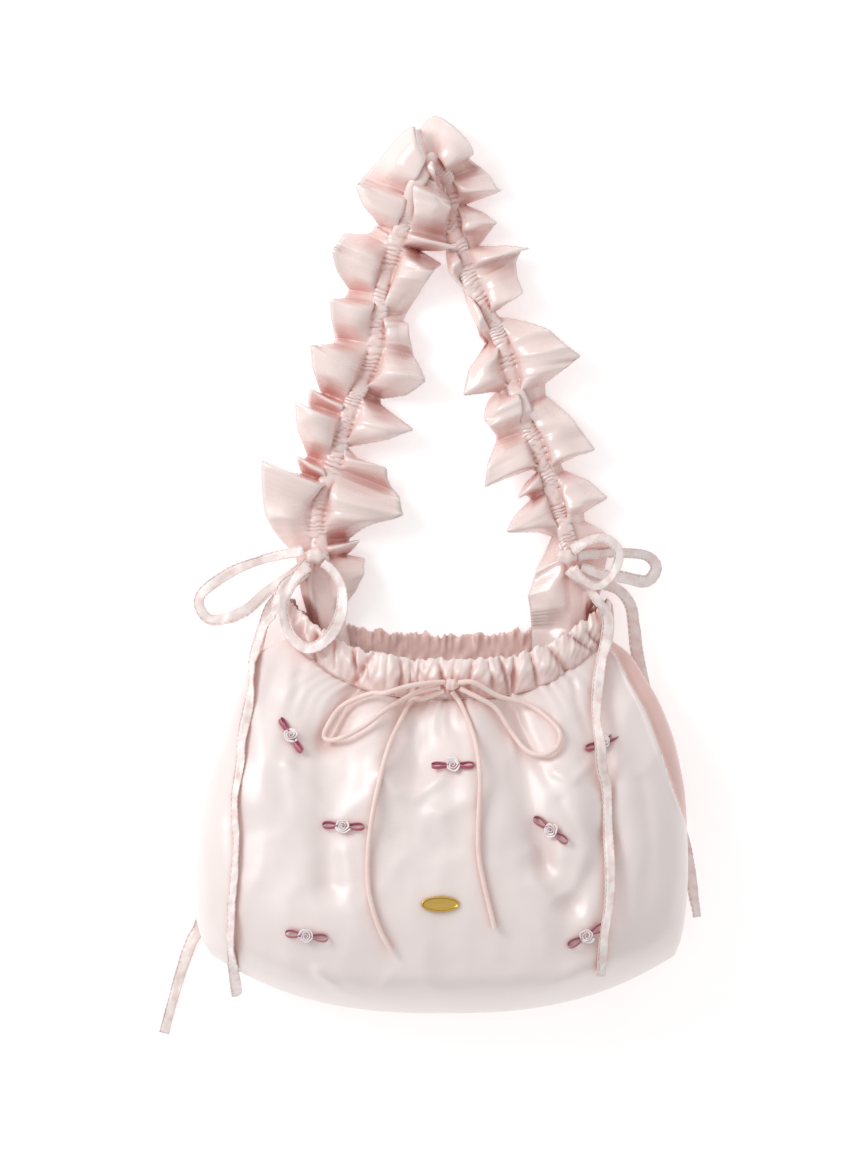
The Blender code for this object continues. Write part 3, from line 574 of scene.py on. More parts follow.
def tieMesh(name, over, picks, seed):
    route = routePoints(over, picks)
    length = lengthsAlong(route)[-1]
    spots = smoothRoute(route, max(12, round(length / tie["step"])))
    last = len(spots) - 1
    up = Vector((0, 0, 1))
    rows, marks = [], []
    for index, spot in enumerate(spots):
        way = spots[min(index + 1, last)] - spots[max(index - 1, 0)]
        way.normalize()
        face = up
        if over:
            above = spot.z - coverHeight(spot.x, spot.y)
            lies = within(tie["settled"] - above / tie["settles"])
            face = up.lerp(coverNormal(spot.x, spot.y), lies)
        run = length * index / last
        wander = noiseAt(run * tie["twistEvery"], seed)
        flank = face.cross(way).normalized()
        upright = way.cross(flank).normalized()
        lean = wander * tie["twist"]
        flank, upright = (flank * cos(lean) + upright * sin(lean),
                          upright * cos(lean) - flank * sin(lean))
        narrow = noiseAt(run * tie["slimEvery"], seed + 9)
        half = tie["width"] / 2 * min(tie["slim"] + tie["slimRange"] * narrow, 1.0)
        scallop = tie["scallop"] * sin(2 * pi * run / tie["stitch"])
        row = []
        flat = [(share, 1) for share in tie["face"]] + [(1.0, 0)]
        flat += [(-share, -1) for share in tie["face"]] + [(-1.0, 0)]
        for share, skin in flat:
            aside = (half + scallop) * share
            crumple = noiseAt(run * tie["crumpleAlong"], aside * tie["crumpleAcross"], seed)
            crumple *= tie["crumple"]
            sewn = tie["sewn"] if skin == 1 and share == tie["sewnAt"] else 1.0
            point = spot + flank * aside + upright * (skin * sewn * tie["thick"] / 2 + crumple)
            point.z = max(point.z, tie["clear"] + tie["underside"] * skin)
            row.append(point)
            marks.append((run / tie["stitch"], 0.5 + 0.5 * share))
        rows.append(row)
    mesh = gridMesh(name, rows, closeAcross=True, marks=marks)
    sealMesh(mesh, caps=True)
    return mesh, spots


# Knots: a lump whose wraps run round it, creased and dented.
wrap = {"rings": 24, "steps": 40, "crease": 0.07, "sway": 0.8, "dent": 0.10, "dentSize": 1.4,
        "weld": 0.0000005, "bow": (0.0088, 0.0074, 0.0062)}


def wrapMesh(name, centre, size, turns, seed):
    rows = []
    for ring in range(wrap["rings"] + 1):
        polar = pi * ring / wrap["rings"]
        row = []
        for step in range(wrap["steps"]):
            angle = 2 * pi * step / wrap["steps"]
            crease = 1 + wrap["crease"] * sin(turns * polar * 2 + wrap["sway"] * sin(angle + seed))
            crease += wrap["dent"] * noiseAt(cos(angle) * wrap["dentSize"],
                                             sin(angle) * wrap["dentSize"], polar + seed)
            row.append(centre + Vector((size[0] / 2 * cos(polar),
                                        size[1] / 2 * sin(polar) * cos(angle),
                                        size[2] / 2 * sin(polar) * sin(angle))) * crease)
        rows.append(row)
    mesh = gridMesh(name, rows, closeAcross=True)
    sealMesh(mesh, weld=wrap["weld"])
    return mesh


def boxMiddle(node):
    low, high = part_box(node)
    return (low + high) / 2


for number, (name, size, turns, material, slot) in enumerate((
        ("left_tie_knot", tie["knot"], 3, casingSatin, "tie_ribbon"),
        ("right_tie_knot", tie["knot"], 3, casingSatin, "tie_ribbon"),
        ("bow_knot", wrap["bow"], 3.5, rattail, "rattail"))):
    mesh = wrapMesh(name + "_wrap", boxMiddle(name), size, turns, number)
    addPiece(name + "_wrap", mesh, material)
    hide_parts(name)

# keeps the ties' twists apart
tieSeed = 7.3
for number, (name, (over, picks)) in enumerate(tieRoutes.items()):
    mesh, spots = tieMesh(name + "_ribbon", over, picks, number * tieSeed)
    piece = addPiece(name + "_ribbon", mesh, tieSatin)
    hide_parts(name)

# Round drawstring with cut ends.
cord = {"diameter": 0.0032, "step": 0.0024, "facets": 3}
for name, picks in cordRoutes.items():
    route = routePoints(True, picks)
    spots = smoothRoute(route, round(lengthsAlong(route)[-1] / cord["step"]))
    curve = bpy.data.curves.new(name + "_cord", "CURVE")
    curve.dimensions = "3D"
    curve.bevel_depth = cord["diameter"] / 2
    curve.bevel_resolution = cord["facets"]
    curve.use_fill_caps = True
    line = curve.splines.new("POLY")
    line.points.add(len(spots) - 1)
    for point, spot in zip(line.points, spots):
        point.co = (*spot, 1)
    line.use_smooth = True
    piece = addPiece(name + "_cord", curve, rattail)
    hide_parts(name)
print("ties and drawstring made")


# Finer creases on the front panel: route in picks, half width in picks, height as a
# share of one fold (minus for a valley); each fades out toward its last pick.
foldHeight, foldFade = 0.0015, 0.75
fineFolds = (
    (((372, 672), (350, 700), (326, 745)), 7.0, -3.2),
    (((330, 760), (331, 810), (334, 885)), 15.0, 2.1),
    (((312, 748), (310, 810), (314, 880)), 10.0, 0.7),
    (((401, 686), (398, 720), (392, 760)), 4.0, -1.0),
    (((382, 772), (398, 790), (414, 795), (439, 777), (454, 740)), 7.0, 1.9),
    (((394, 738), (416, 760), (440, 738)), 18.0, -3.0),
    (((392, 822), (440, 838), (478, 826)), 16.0, -1.5),
    (((598, 800), (606, 850), (590, 905)), 12.0, 1.0),
    (((446, 694), (450, 720), (462, 748)), 4.0, -1.0),
    (((470, 696), (478, 735), (482, 772)), 5.0, 1.1),
    (((506, 695), (522, 730), (546, 778)), 6.0, -2.2),
    (((512, 693), (511, 730), (520, 790)), 4.0, 1.0),
    (((572, 680), (576, 700), (586, 730)), 3.5, -1.5),
    (((554, 771), (572, 779), (590, 761), (594, 735)), 5.0, 1.1),
    (((531, 850), (534, 879), (552, 896), (570, 888), (588, 852), (598, 815)), 7.0, 1.3),
    (((545, 830), (550, 862), (564, 864), (574, 838)), 11.0, -1.2),
    (((350, 735), (352, 800), (356, 880)), 22.0, -1.0),
    (((534, 725), (554, 785), (564, 840)), 18.0, -1.2),
    (((283, 655), (277, 680), (268, 712)), 9.0, -1.4),
    (((300, 668), (297, 690), (288, 712)), 6.0, -1.2),
    (((262, 668), (257, 705), (262, 760)), 7.0, 1.0),
    (((300, 725), (290, 765), (300, 835)), 8.0, 1.0),
    (((287, 762), (302, 776), (320, 786)), 4.0, 0.8),
    (((345, 850), (352, 900), (362, 940)), 9.0, 1.0),
    (((318, 968), (340, 989), (366, 1000), (382, 988), (392, 970)), 5.0, 1.5),
    (((400, 720), (388, 745), (360, 760)), 7.0, 0.9),
    (((420, 800), (440, 812), (470, 800)), 8.0, 1.0),
    (((400, 835), (430, 850), (470, 842)), 10.0, -1.0),
    (((560, 800), (575, 830), (572, 862)), 6.0, -1.0),
    (((620, 760), (630, 820), (628, 880)), 10.0, 1.0),
    (((640, 780), (650, 840), (645, 900)), 7.0, -1.0),
    (((548, 992), (574, 972), (616, 950)), 13.0, 2.6),
    (((610, 647), (643, 712), (659, 756), (670, 790), (680, 815), (684, 850)), 2.0, 1.8),
    (((225, 830), (228, 880), (232, 930)), 10.0, 0.8),
)


def foldField(x, y):
    total = np.zeros_like(x)
    for picks, width, height in fineFolds:
        line = [plan(*pick) for pick in picks]
        runs = [hypot(ahead[0] - here[0], ahead[1] - here[1])
                for here, ahead in zip(line, line[1:])]
        best = np.full_like(x, np.inf)
        fade = np.ones_like(x)
        passed = 0.0
        for (startX, startY), (endX, endY), run in zip(line, line[1:], runs):
            share = ((x - startX) * (endX - startX) + (y - startY) * (endY - startY)) / run ** 2
            share = np.clip(share, 0.0, 1.0)
            away = np.hypot(x - startX - share * (endX - startX),
                            y - startY - share * (endY - startY))
            closer = away < best
            best = np.where(closer, away, best)
            fade = np.where(closer, (passed + share * run) / sum(runs), fade)
            passed += run
        body = np.exp(-(best / (width * photo["across"])) ** 2)
        total += height * foldHeight * body * (1 - foldFade * fade ** 2)
    return total


# Bag shell, with the creases, tucks under the stitch line, soft drape and crush.
detail = {"front": 190, "back": 60, "rises": 150, "early": 26, "tuck": 0.0006,
          "tuckReach": 0.020, "tuckRise": 0.2, "tucks": 74, "crush": 0.0007, "crushScale": 28,
          "drape": 0.0030, "drapeMiddle": 0.3, "drapeRound": 0.003, "slowWave": (24, 15),
          "quickWave": (52, 34), "quickShare": 0.5, "calmBase": 0.08, "tuckSway": 5,
          "tuckSwayEvery": 9, "sideDrop": 0.0055, "sideTurn": 3.0, "turned": 0.3,
          "above": 0.6, "weld": 0.00005}
# The front panel's right seam (row, column), past which the side is turned away.
sideSeam = ((645, 608), (712, 644), (756, 660), (790, 671), (815, 681), (845, 693))


def crushAt(x, y):
    scale = detail["crushScale"]
    return noise.fractal(Vector((x * scale, y * scale, 3.0)), 1.0, 2.0, 3)


def drapeAt(x, y):
    # soft creases where two slow waves of the cloth meet
    slow = noiseAt(x * detail["slowWave"][0], y * detail["slowWave"][1], 5.0)
    quick = noiseAt(x * detail["quickWave"][0], y * detail["quickWave"][1], 9.0)
    wave = slow + detail["quickShare"] * quick
    return detail["drapeMiddle"] - sqrt(wave ** 2 + detail["drapeRound"])


def shellSides(front, back):
    over = [(-cos(pi * index / front), True) for index in range(front + 1)]
    under = [(cos(pi * index / back), False) for index in range(1, back)]
    return over + under


def shellRises(count):
    # closer rows round the base's edge
    near = detail["early"]
    early = [shell["round"] * (1 - cos(pi / 2 * index / near)) for index in range(near)]
    late = [shell["round"] + (1 - shell["round"]) * index / (count - near - 1)
            for index in range(count - near)]
    return early + late


def pastSeam(x, y):
    column, row = pickAt(x, y)
    if row > sideSeam[-1][0]:
        return 0.0
    seam = np.interp(row, [pick[0] for pick in sideSeam], [pick[1] for pick in sideSeam])
    return within((column - seam) / detail["sideTurn"])


def makeShell():
    sides, rises = shellSides(detail["front"], detail["back"]), shellRises(detail["rises"])
    rows = [[skinPoint(side, rise, top) for side, top in sides] for rise in rises]
    spots = np.array(rows)
    x, y = spots[:, :, 0], spots[:, :, 1]
    folds = foldField(x, y)
    for rowIndex, (rise, row) in enumerate(zip(rises, rows)):
        for index, (side, top) in enumerate(sides):
            if not top:
                continue
            spot = row[index]
            # no fold where the front meets the back, or at the base's edge
            calm = (1 - side ** 12) * min(1.0, rise / detail["calmBase"])
            below = (1 - rise) * detail["tuckRise"]
            sway = detail["tuckSway"] * sin(side * detail["tuckSwayEvery"])
            tuck = sin(side * detail["tucks"] + sway) * exp(-below / detail["tuckReach"])
            tuck *= (1 - side ** 4) * (1 + noiseAt(side * 9, 6.0))
            lift = folds[rowIndex, index] + tuck * detail["tuck"] * (0.4 + 0.6 * rise)
            lift += detail["crush"] * crushAt(spot.x, spot.y)
            lift += detail["drape"] * drapeAt(spot.x, spot.y)
            lift -= detail["sideDrop"] * pastSeam(spot.x, spot.y)
            spot.z += lift * calm
    mesh = gridMesh("bag_shell", rows, closeAcross=True)
    sealMesh(mesh, weld=detail["weld"])
    piece = addPiece("bag_shell", mesh, blushSatin)
    # painted shade: faces high up past the right seam take the deeper pink, shaded copy of the
    # satin
    mesh.materials.append(shadedSideSatin)
    for face in mesh.polygons:
        above = face.center.z > shell["side"] * detail["above"]
        turned = above and pastSeam(face.center.x, face.center.y) > detail["turned"]
        face.material_index = 1 if turned else 0
    thicken(piece, shell["cloth"])
    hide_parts("bag_body")
    return piece


bagShell = makeShell()
shellTree = BVHTree.FromPolygons([vertex.co[:] for vertex in bagShell.data.vertices],
                                 [tuple(face.vertices) for face in bagShell.data.polygons])
print("bag shell made")

# Gathered casing round the mouth: a doubled strip that puffs between its valleys, frilled
# at its free edge and pleated on the far side.
casing = {"front": 420, "back": 300, "profile": 15, "width": 0.0245, "puff": 0.0026,
          "wall": 0.0008, "brink": 0.4, "edge": 0.0024, "backFrill": 1.7, "crumple": 0.0026,
          "pit": 0.0014, "pitShows": 0.7, "pleat": 0.0060, "frontPleat": 0.0002,
          "backPleat": 0.0034, "backPuff": 0.3, "stitch": 0.0005, "stitchEvery": 3,
          "stitchShape": (2.0, 0.8, 0.7, 1), "stitchLift": (0, -0.0004, 0.0003),
          "broadDents": 130, "smallDents": 300, "frillEvery": 210, "fineFrillEvery": 520,
          "fineFrill": 0.6, "pleatWaver": 3, "pleatWaverEvery": 60}
# Valleys: top pick, bottom pick, half width in picks and depth as a share of a pit.
casingValleys = (
    (318, 636, 316, 660, 2.2, 1.6), (335, 640, 336, 667, 2.0, 1.4), (353, 646, 358, 671, 2.0, 1.8),
    (377, 645, 356, 681, 2.6, 3.2), (401, 652, 400, 686, 2.2, 1.6), (421, 654, 418, 690, 1.8, 0.9),
    (437, 655, 446, 690, 2.2, 2.0), (456, 650, 452, 690, 2.0, 1.0), (474, 652, 468, 690, 2.2, 1.8),
    (486, 652, 492, 690, 1.8, 1.2), (498, 650, 508, 694, 2.2, 2.4), (514, 650, 512, 692, 2.2, 2.6),
    (529, 648, 537, 688, 2.2, 1.8), (545, 644, 572, 678, 2.6, 3.0), (563, 632, 590, 650, 2.4, 2.0),
    (556, 655, 560, 682, 1.8, 1.0), (585, 632, 598, 645, 2.0, 1.4), (366, 652, 372, 686, 1.8, 0.9),
    (388, 655, 386, 688, 1.6, 0.7), (410, 656, 409, 689, 1.6, 0.6))


def valleyDepth(x, y):
    depth = 0.0
    for topColumn, topRow, endColumn, endRow, width, deep in casingValleys:
        away = awayFromLine(x, y, (topColumn, topRow), (endColumn, endRow))
        depth += deep * casing["pit"] * exp(-away / (width * photo["across"]))
    return depth


def casingRipple(run, share):
    # crushed cloth: broad dents and small ones, least at both edges
    broad = noiseAt(run * casing["broadDents"] + share * 2.0, share * 2.2, 2.2)
    small = noiseAt(run * casing["smallDents"] - share * 3.0, share * 3.0, 5.2)
    return (broad + 0.5 * small) * (casing["crumple"] * sin(pi * (0.12 + 0.8 * share)))


def makeCasing():
    sides = shellSides(casing["front"], casing["back"])
    rim = [skinPoint(side, 1.0, top) for side, top in sides]
    count = len(rim)
    middle = sum(rim, Vector()) / count
    runs = lengthsAlong(rim)
    rows = []
    for index, (side, top) in enumerate(sides):
        spot = rim[index]
        way = rim[(index + 3) % count] - rim[index - 3]
        out = way.cross(Vector((0, 1, 0))).normalized()
        if out.dot(spot - middle) < 0:
            out.negate()
        run = runs[index]
        frill = noiseAt(run * casing["frillEvery"], 1.7)
        frill += casing["fineFrill"] * noiseAt(run * casing["fineFrillEvery"], 4.1)
        waver = casing["pleatWaver"] * noiseAt(run * casing["pleatWaverEvery"], 8)
        beat = run * pi / casing["pleat"] + waver
        pleat = 2 * abs(sin(beat)) - 1
        outer, inner = [], []
        for step in range(casing["profile"]):
            share = step / (casing["profile"] - 1)
            edge = casing["edge"] * frill * (1 if top else casing["backFrill"])
            reach = shell["seam"] + share * (casing["width"] + edge) - casing["edge"]
            bell = sin(pi * min(share * 0.92 + 0.04, 1.0))
            ripple = casingRipple(run, share)
            if top:
                pit = valleyDepth(spot.x, spot.y + reach)
                swell = casing["puff"] * bell * (1 - min(pit / casing["puff"], 1.0))
                swell += casing["frontPleat"] * pleat * share + ripple - pit * casing["pitShows"]
            else:
                swell = casing["puff"] * casing["backPuff"] * bell + ripple * 0.5
                swell += casing["backPleat"] * pleat * (0.3 + 0.7 * share)
            thinned = 1.0 if step < casing["profile"] - 1 else casing["brink"]
            wall = casing["wall"] * (1 + bell) * thinned
            outer.append(spot + out * (swell + wall) + Vector((0, reach, 0)))
            inner.append(spot + out * (swell - wall) + Vector((0, reach, 0)))
        row = outer + inner[::-1]
        low = min(point.z for point in row)
        if low < 0:
            row = [point + Vector((0, 0, -low)) for point in row]
        rows.append(row)
    mesh = gridMesh("gathered_casing", rows, closeAcross=True, closeAlong=True)
    sealMesh(mesh)
    piece = addPiece("gathered_casing", mesh, casingSatin)
    # the far side is seen from its inside; its shade and pink bounced light are painted in a darker
    # copy of the satin
    mesh.materials.append(shadedInnerSatin)
    behind = casing["front"] * casing["profile"] * 2
    for face in mesh.polygons:
        face.material_index = 1 if min(face.vertices) > behind else 0
    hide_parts("rim_casing")
    # the stitch line is a row of short raised stitches
    stitches = bmesh.new()
    stretch = Matrix.Diagonal(casing["stitchShape"])
    for index in range(0, casing["front"], casing["stitchEvery"]):
        spot = (rows[index][1] + rows[index][0]) / 2
        way = rows[min(index + 2, casing["front"])][0] - rows[index][0]
        lift = Matrix.Translation(spot + Vector(casing["stitchLift"]))
        turned = lift @ Matrix.Rotation(atan2(way.y, way.x), 4, "Z") @ stretch
        bmesh.ops.create_icosphere(stitches, subdivisions=1, radius=casing["stitch"],
                                   matrix=turned)
    mesh = bpy.data.meshes.new("casing_stitches")
    stitches.to_mesh(mesh)
    stitches.free()
    addPiece("casing_stitches", mesh, tieSatin)


makeCasing()
print("casing made")

# Strap: a gathered channel between two frilled edges. Their petals rise, fold over and
# crease, and here and there a fold crosses the channel, always at the apex.
strap = {"samples": 1500, "across": 13, "reach": 0.050, "rise": 0.034, "lift": 0.013,
         "cloth": 0.0011, "lip": 0.00048, "lipSides": 7, "channel": 0.0048, "puff": 0.0014,
         "gather": 0.0012, "roll": 0.0043, "round": 0.0011, "billow": 0.0050, "fold": 0.0060,
         "swell": 0.66, "valley": 0.55, "tip": 0.80, "crest": 0.22, "crease": 0.0030,
         "curl": 0.0050, "crimp": 0.0030, "lean": 0.0050, "cross": 0.0060, "apex": 0.468,
         "apexHalf": 0.045, "turnOver": 0.016, "ease": 0.02, "least": 0.0000001,
         "knotRows": (2, -3), "bunchEvery": 75, "crossEvery": 34, "slantEvery": 25,
         "bendEvery": 40, "swayEvery": 55, "crimpEvery": 55, "creaseEvery": 62,
         "coilEvery": 90}
# Its middle line: column, row and height as a share of the lift.
strapLine = (
    (335, 652, 1.30), (322, 590, 1.40), (321, 557, 1.30), (317, 525, 1.10), (322, 495, 1.00),
    (333, 468, 1.00), (343, 435, 1.00), (353, 402, 1.00), (368, 372, 1.00), (377, 345, 1.00),
    (379, 315, 1.00), (384, 282, 1.00), (392, 258, 1.05), (401, 232, 1.30), (409, 207, 1.70),
    (418, 182, 2.10), (433, 162, 1.90), (447, 182, 1.00), (451, 208, 0.80), (457, 238, 0.85),
    (466, 270, 1.00), (476, 292, 1.00), (487, 314, 1.00), (500, 337, 1.00), (508, 364, 1.00),
    (516, 391, 1.00), (527, 420, 1.00), (538, 450, 1.00), (549, 480, 1.00), (557, 505, 1.05),
    (566, 535, 1.20), (571, 556, 1.30), (576, 590, 1.40), (578, 660, 1.20))
# Petals: root, tip and end as place along (0 left knot, 1 right knot) and reach in
# fiftieths of the whole reach, then the tip's and the root's height as shares of the rise.
outerPetals = (
    (-0.065, 11, -0.030, 13, 0.000, 15, 0.50, 0.50), (0.008, 16, 0.079, 41, 0.087, 18, 0.85, 0.20),
    (0.091, 16, 0.098, 23, 0.105, 19, 0.60, 0.15), (0.112, 17, 0.159, 33, 0.166, 24, 0.80, 0.20),
    (0.172, 26, 0.177, 27, 0.183, 20, 0.50, 0.15), (0.188, 21, 0.219, 38, 0.250, 26, 0.90, 0.15),
    (0.262, 26, 0.298, 30, 0.312, 22, 0.80, 0.20), (0.322, 20, 0.343, 35, 0.375, 33, 0.85, 0.20),
    (0.382, 20, 0.388, 14, 0.393, 17, 0.30, 0.15), (0.400, 14, 0.424, 34, 0.446, 32.5, 0.90, 0.30),
    (0.455, 30, 0.480, 24, 0.493, 21, 0.95, 0.90), (0.499, 29, 0.510, 22, 0.522, 18, 0.90, 0.60),
    (0.530, 22, 0.545, 29, 0.556, 33, 0.80, 0.30), (0.564, 8, 0.584, 25, 0.600, 22, 0.70, 0.10),
    (0.618, 11, 0.634, 40, 0.642, 36, 0.85, 0.15), (0.655, 30, 0.686, 25, 0.700, 4, 0.70, 0.50),
    (0.708, 5, 0.767, 43, 0.798, 18, 0.85, 0.15), (0.812, 16, 0.881, 32, 0.892, 10, 0.80, 0.15),
    (0.902, 10, 0.936, 30, 0.955, 14, 0.70, 0.15), (0.965, 13, 0.991, 28, 1.000, 24, 0.35, 0.15),
    (1.015, 20, 1.030, 15, 1.070, 6, 0.50, 0.50))
innerPetals = (
    (-0.065, 10, -0.034, 26, -0.006, 27, 0.55, 0.50), (0.000, 15, 0.008, 25, 0.013, 18, 0.60, 0.20),
    (0.020, 19, 0.071, 50, 0.103, 45, 0.90, 0.15), (0.110, 38, 0.118, 31, 0.127, 13, 0.60, 0.50),
    (0.137, 4, 0.173, 40, 0.200, 16, 0.80, 0.10), (0.207, 14, 0.230, 34, 0.259, 23, 0.85, 0.20),
    (0.268, 21, 0.280, 18, 0.293, 15, 0.60, 0.70), (0.301, 16, 0.355, 26, 0.379, 30, 0.85, 0.20),
    (0.386, 14, 0.393, 35, 0.403, 31, 0.90, 0.30), (0.411, 27, 0.440, 24, 0.468, 20, 0.95, 0.85),
    (0.479, 12, 0.489, 8, 0.499, 6, 0.95, 0.95), (0.515, 6, 0.550, 7, 0.600, 7, 0.25, 0.25),
    (0.612, 8, 0.624, 10, 0.659, 6, 0.50, 0.15), (0.668, 7, 0.695, 9, 0.718, 11, 0.60, 0.15),
    (0.730, 10, 0.771, 31, 0.789, 11, 0.85, 0.10), (0.796, 18, 0.804, 24, 0.835, 21, 0.70, 0.15),
    (0.843, 22, 0.879, 38, 0.887, 8, 0.85, 0.15), (0.893, 5, 0.905, 21, 0.915, 16, 0.60, 0.15),
    (0.922, 14, 0.940, 34, 0.962, 16, 0.85, 0.15), (0.972, 8, 1.032, 29, 1.085, 28, 0.55, 0.30))


def petalEdge(petals, start, end, length):
    edge = []
    swell = strap["swell"]
    for rootAt, root, tipAt, tip, endAt, close, high, low in petals:
        shut = (high + low) / 2
        rising = (root + (tip - root) * swell, low + (high - low) * swell)
        falling = (close + (tip - close) * swell, shut + (high - shut) * swell)
        for at, reach, height, ahead in (
                (rootAt, root, low * strap["valley"], 0.0),
                ((rootAt + tipAt) / 2, *rising, 0.4),
                (tipAt, tip * 1.03, high, 1.0),
                ((tipAt + endAt) / 2, *falling, 0.4),
                (endAt, close, shut * strap["valley"], 0.0)):
            along = within(start + at * (end - start))
            edge.append((along, reach / 50 * strap["reach"], height * strap["rise"],
                         ahead * strap["fold"] / length))
    return edge


def spread(edge, places, length):
    columns = np.array(sorted(edge))
    rows = []
    for column, reach in ((1, strap["round"]), (2, strap["billow"]), (3, strap["billow"])):
        soften = int(reach / length * len(places)) | 1
        kernel = np.hanning(soften + 2)[1:-1]
        row = np.pad(np.interp(places, columns[:, 0], columns[:, column]), soften // 2, mode="edge")
        rows.append(np.convolve(row, kernel / kernel.sum(), mode="valid"))
    return rows


def gatherAt(run, phase, bunch, share, sense):
    # tight irregular rolls of the gathers
    coil = pi * run / strap["roll"] + 8 * bunch - phase
    coil += 3 * noiseAt(run * strap["coilEvery"], sense * share, 14.0)
    return abs(sin(coil)) ** 0.5 - 0.5


def makeStrap():
    route = [Vector((*plan(column, row), lift * strap["lift"])) for column, row, lift in strapLine]
    reach = lengthsAlong(route)
    length = reach[-1]
    start, end = (reach[row] / length for row in strap["knotRows"])
    count = strap["samples"]
    line = smoothRoute(route, count)
    places = np.linspace(0, 1, count)
    edges = [spread(petalEdge(petals, start, end, length), places, length)
             for petals in (outerPetals, innerPetals)]
    apart = int(strap["turnOver"] / length * count)
    lefts = []
    for index in range(count):
        way = line[min(index + apart, count - 1)] - line[max(index - apart, 0)]
        lefts.append(Vector((-way.y, way.x, 0)).normalized())
    across = strap["across"]
    rows, lips = [], ([], [])
    for index, spot in enumerate(line):
        run = length * index / (count - 1)
        along = index / (count - 1)
        # past the ties the cloth hangs smooth, with no gathers
        drawn = within(1 - max(start - along, along - end) / strap["ease"])
        bunch = noiseAt(run * strap["bunchEvery"], 2.0)
        # here and there a fold runs right across and hides the gathered channel
        crossing = within(2.4 * noiseAt(run * strap["crossEvery"], 11.0) - 0.1)
        crossing = max(crossing, exp(-((along - strap["apex"]) / strap["apexHalf"]) ** 4)) * drawn
        rise = Vector((0, 0, strap["cross"] * crossing))
        slant = 2 * noiseAt(run * strap["slantEvery"], 6.0)
        row = []
        for half, sense in ((0, 1), (1, -1)):
            far, high, fold = (edges[half][part][index] for part in (0, 1, 2))
            ahead = min(index + int(fold * count), count - 1)
            tip = line[ahead] + lefts[ahead] * sense * far
            tip = Vector((tip.x, tip.y, high * strap["tip"]))
            base = spot + lefts[index] * sense * strap["channel"] + rise
            bend = noiseAt(run * strap["bendEvery"], sense * 3.0, 7.0)
            sway = 0.8 * noiseAt(run * strap["swayEvery"], sense * 8.0, 1.0)
            lean = strap["lean"] * (0.4 + crossing + sway)
            side = []
            for step in range(across):
                share = 1 - step / (across - 1)
                point = base.lerp(tip, share)
                point.z = base.z + (tip.z - base.z) * share ** 0.7
                point -= lefts[index] * sense * lean * drawn * sin(pi * min(share * 2.2, 1.0))
                phase = sense * (1 + share * 4) * slant
                pucker = gatherAt(run, phase, bunch, 1 + share * 5, sense)
                pucker *= exp(-share * 8) * (1 - 0.8 * crossing)
                curl = strap["curl"] * bend * sin(pi * share) * drawn
                crimp = noiseAt(run * strap["crimpEvery"], share * 1.5, sense * 3.0)
                point.z += pucker * strap["gather"] * drawn + curl
                point.z += strap["crimp"] * crimp * sin(pi * min(share * 1.6, 1.0))
                smooth = 0.2 + 0.8 * drawn
                ray = noiseAt(run * strap["creaseEvery"], share * 0.7, sense * 9.0)
                point.z += strap["crease"] * (1 - 4 * abs(ray)) * sqrt(share) * smooth
                point.z += high * strap["crest"] * sin(pi * share ** 0.75)
                point.z = max(point.z, strap["cloth"])
                side.append(point)
            lips[half].append(side[0].copy())
            row.append(side)
        channel = []
        for step in (-2, -1, 0, 1, 2):
            share = step / 3
            dome = strap["puff"] * (1 - share ** 2 * 1.2) * (0.75 + 0.35 * bunch)
            roll = gatherAt(run, -share * 1.6 * slant, bunch, share * 1.5, -1)
            roll *= 1 - 0.8 * crossing
            aside = lefts[index] * share * strap["channel"] * (1 + 0.3 * bunch)
            channel.append(spot + rise - aside
                           + Vector((0, 0, (dome + strap["gather"] * roll) * drawn)))
        rows.append(row[0] + channel + row[1][::-1])
    mesh = gridMesh("ruffled_strap", rows)
    piece = addPiece("ruffled_strap", mesh, strapSatin)
    thicken(piece, strap["cloth"], 0)
    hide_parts("strap")
    # the doubled cloth turns over in a soft roll along both edges
    angles = [2 * pi * side / strap["lipSides"] for side in range(strap["lipSides"])]
    for number, lip in enumerate(lips, 1):
        rings = []
        for index, spot in enumerate(lip):
            way = lip[min(index + 1, count - 1)] - lip[max(index - 1, 0)]
            way = way.normalized() if way.length > strap["least"] else Vector((0, 1, 0))
            flank = way.cross(Vector((0.1, 0.2, 1))).normalized()
            upright = way.cross(flank)
            rings.append([spot + (flank * cos(angle) + upright * sin(angle)) * strap["lip"]
                          for angle in angles])
        mesh = gridMesh("strap_edge_%d" % number, rings, closeAcross=True)
        addPiece("strap_edge_%d" % number, mesh, strapSatin)
        sealMesh(mesh)


makeStrap()
print("strap made")

# Ribbon roses and leaves, placed by pick and turn, seated on the shell.
rosette = {"rose": 0.0043, "roseHeight": 0.0042, "heart": 0.0005, "foot": 0.0012,
           "turns": 2.75, "steps": 120, "petal": 0.0008, "leaf": 0.0104, "leafSteps": 36,
           "leafRoot": 0.0028, "leafRise": 0.0019, "eye": 0.0058, "ribbon": 0.0026, "lean": 52,
           "cloth": 0.00035, "clear": 0.0005, "leanRange": 14, "leafSeed": 3.7, "roseSeed": 1.9}
rosettePlaces = ((292, 736, -60), (453, 765, 0), (601, 742, 25), (345, 824, -3), (551, 828, -35),
                 (308, 932, -7), (585, 932, 30))


def seat(column, row, turn):
    x, y = plan(column, row)
    hit, normal = shellTree.ray_cast(Vector((x, y, 0.3)), Vector((0, 0, -1)))[:2]
    if normal.z < 0:
        normal.negate()
    lie = normal.to_track_quat("Z", "Y").to_matrix().to_4x4()
    right = lie.to_3x3() @ Vector((1, 0, 0))
    lie = lie @ Matrix.Rotation(radians(turn) - atan2(right.y, right.x), 4, "Z")
    return Matrix.Translation(hit + normal * rosette["clear"]) @ lie


def laid(lie, rows):
    return [[lie @ spot for spot in row] for row in rows]


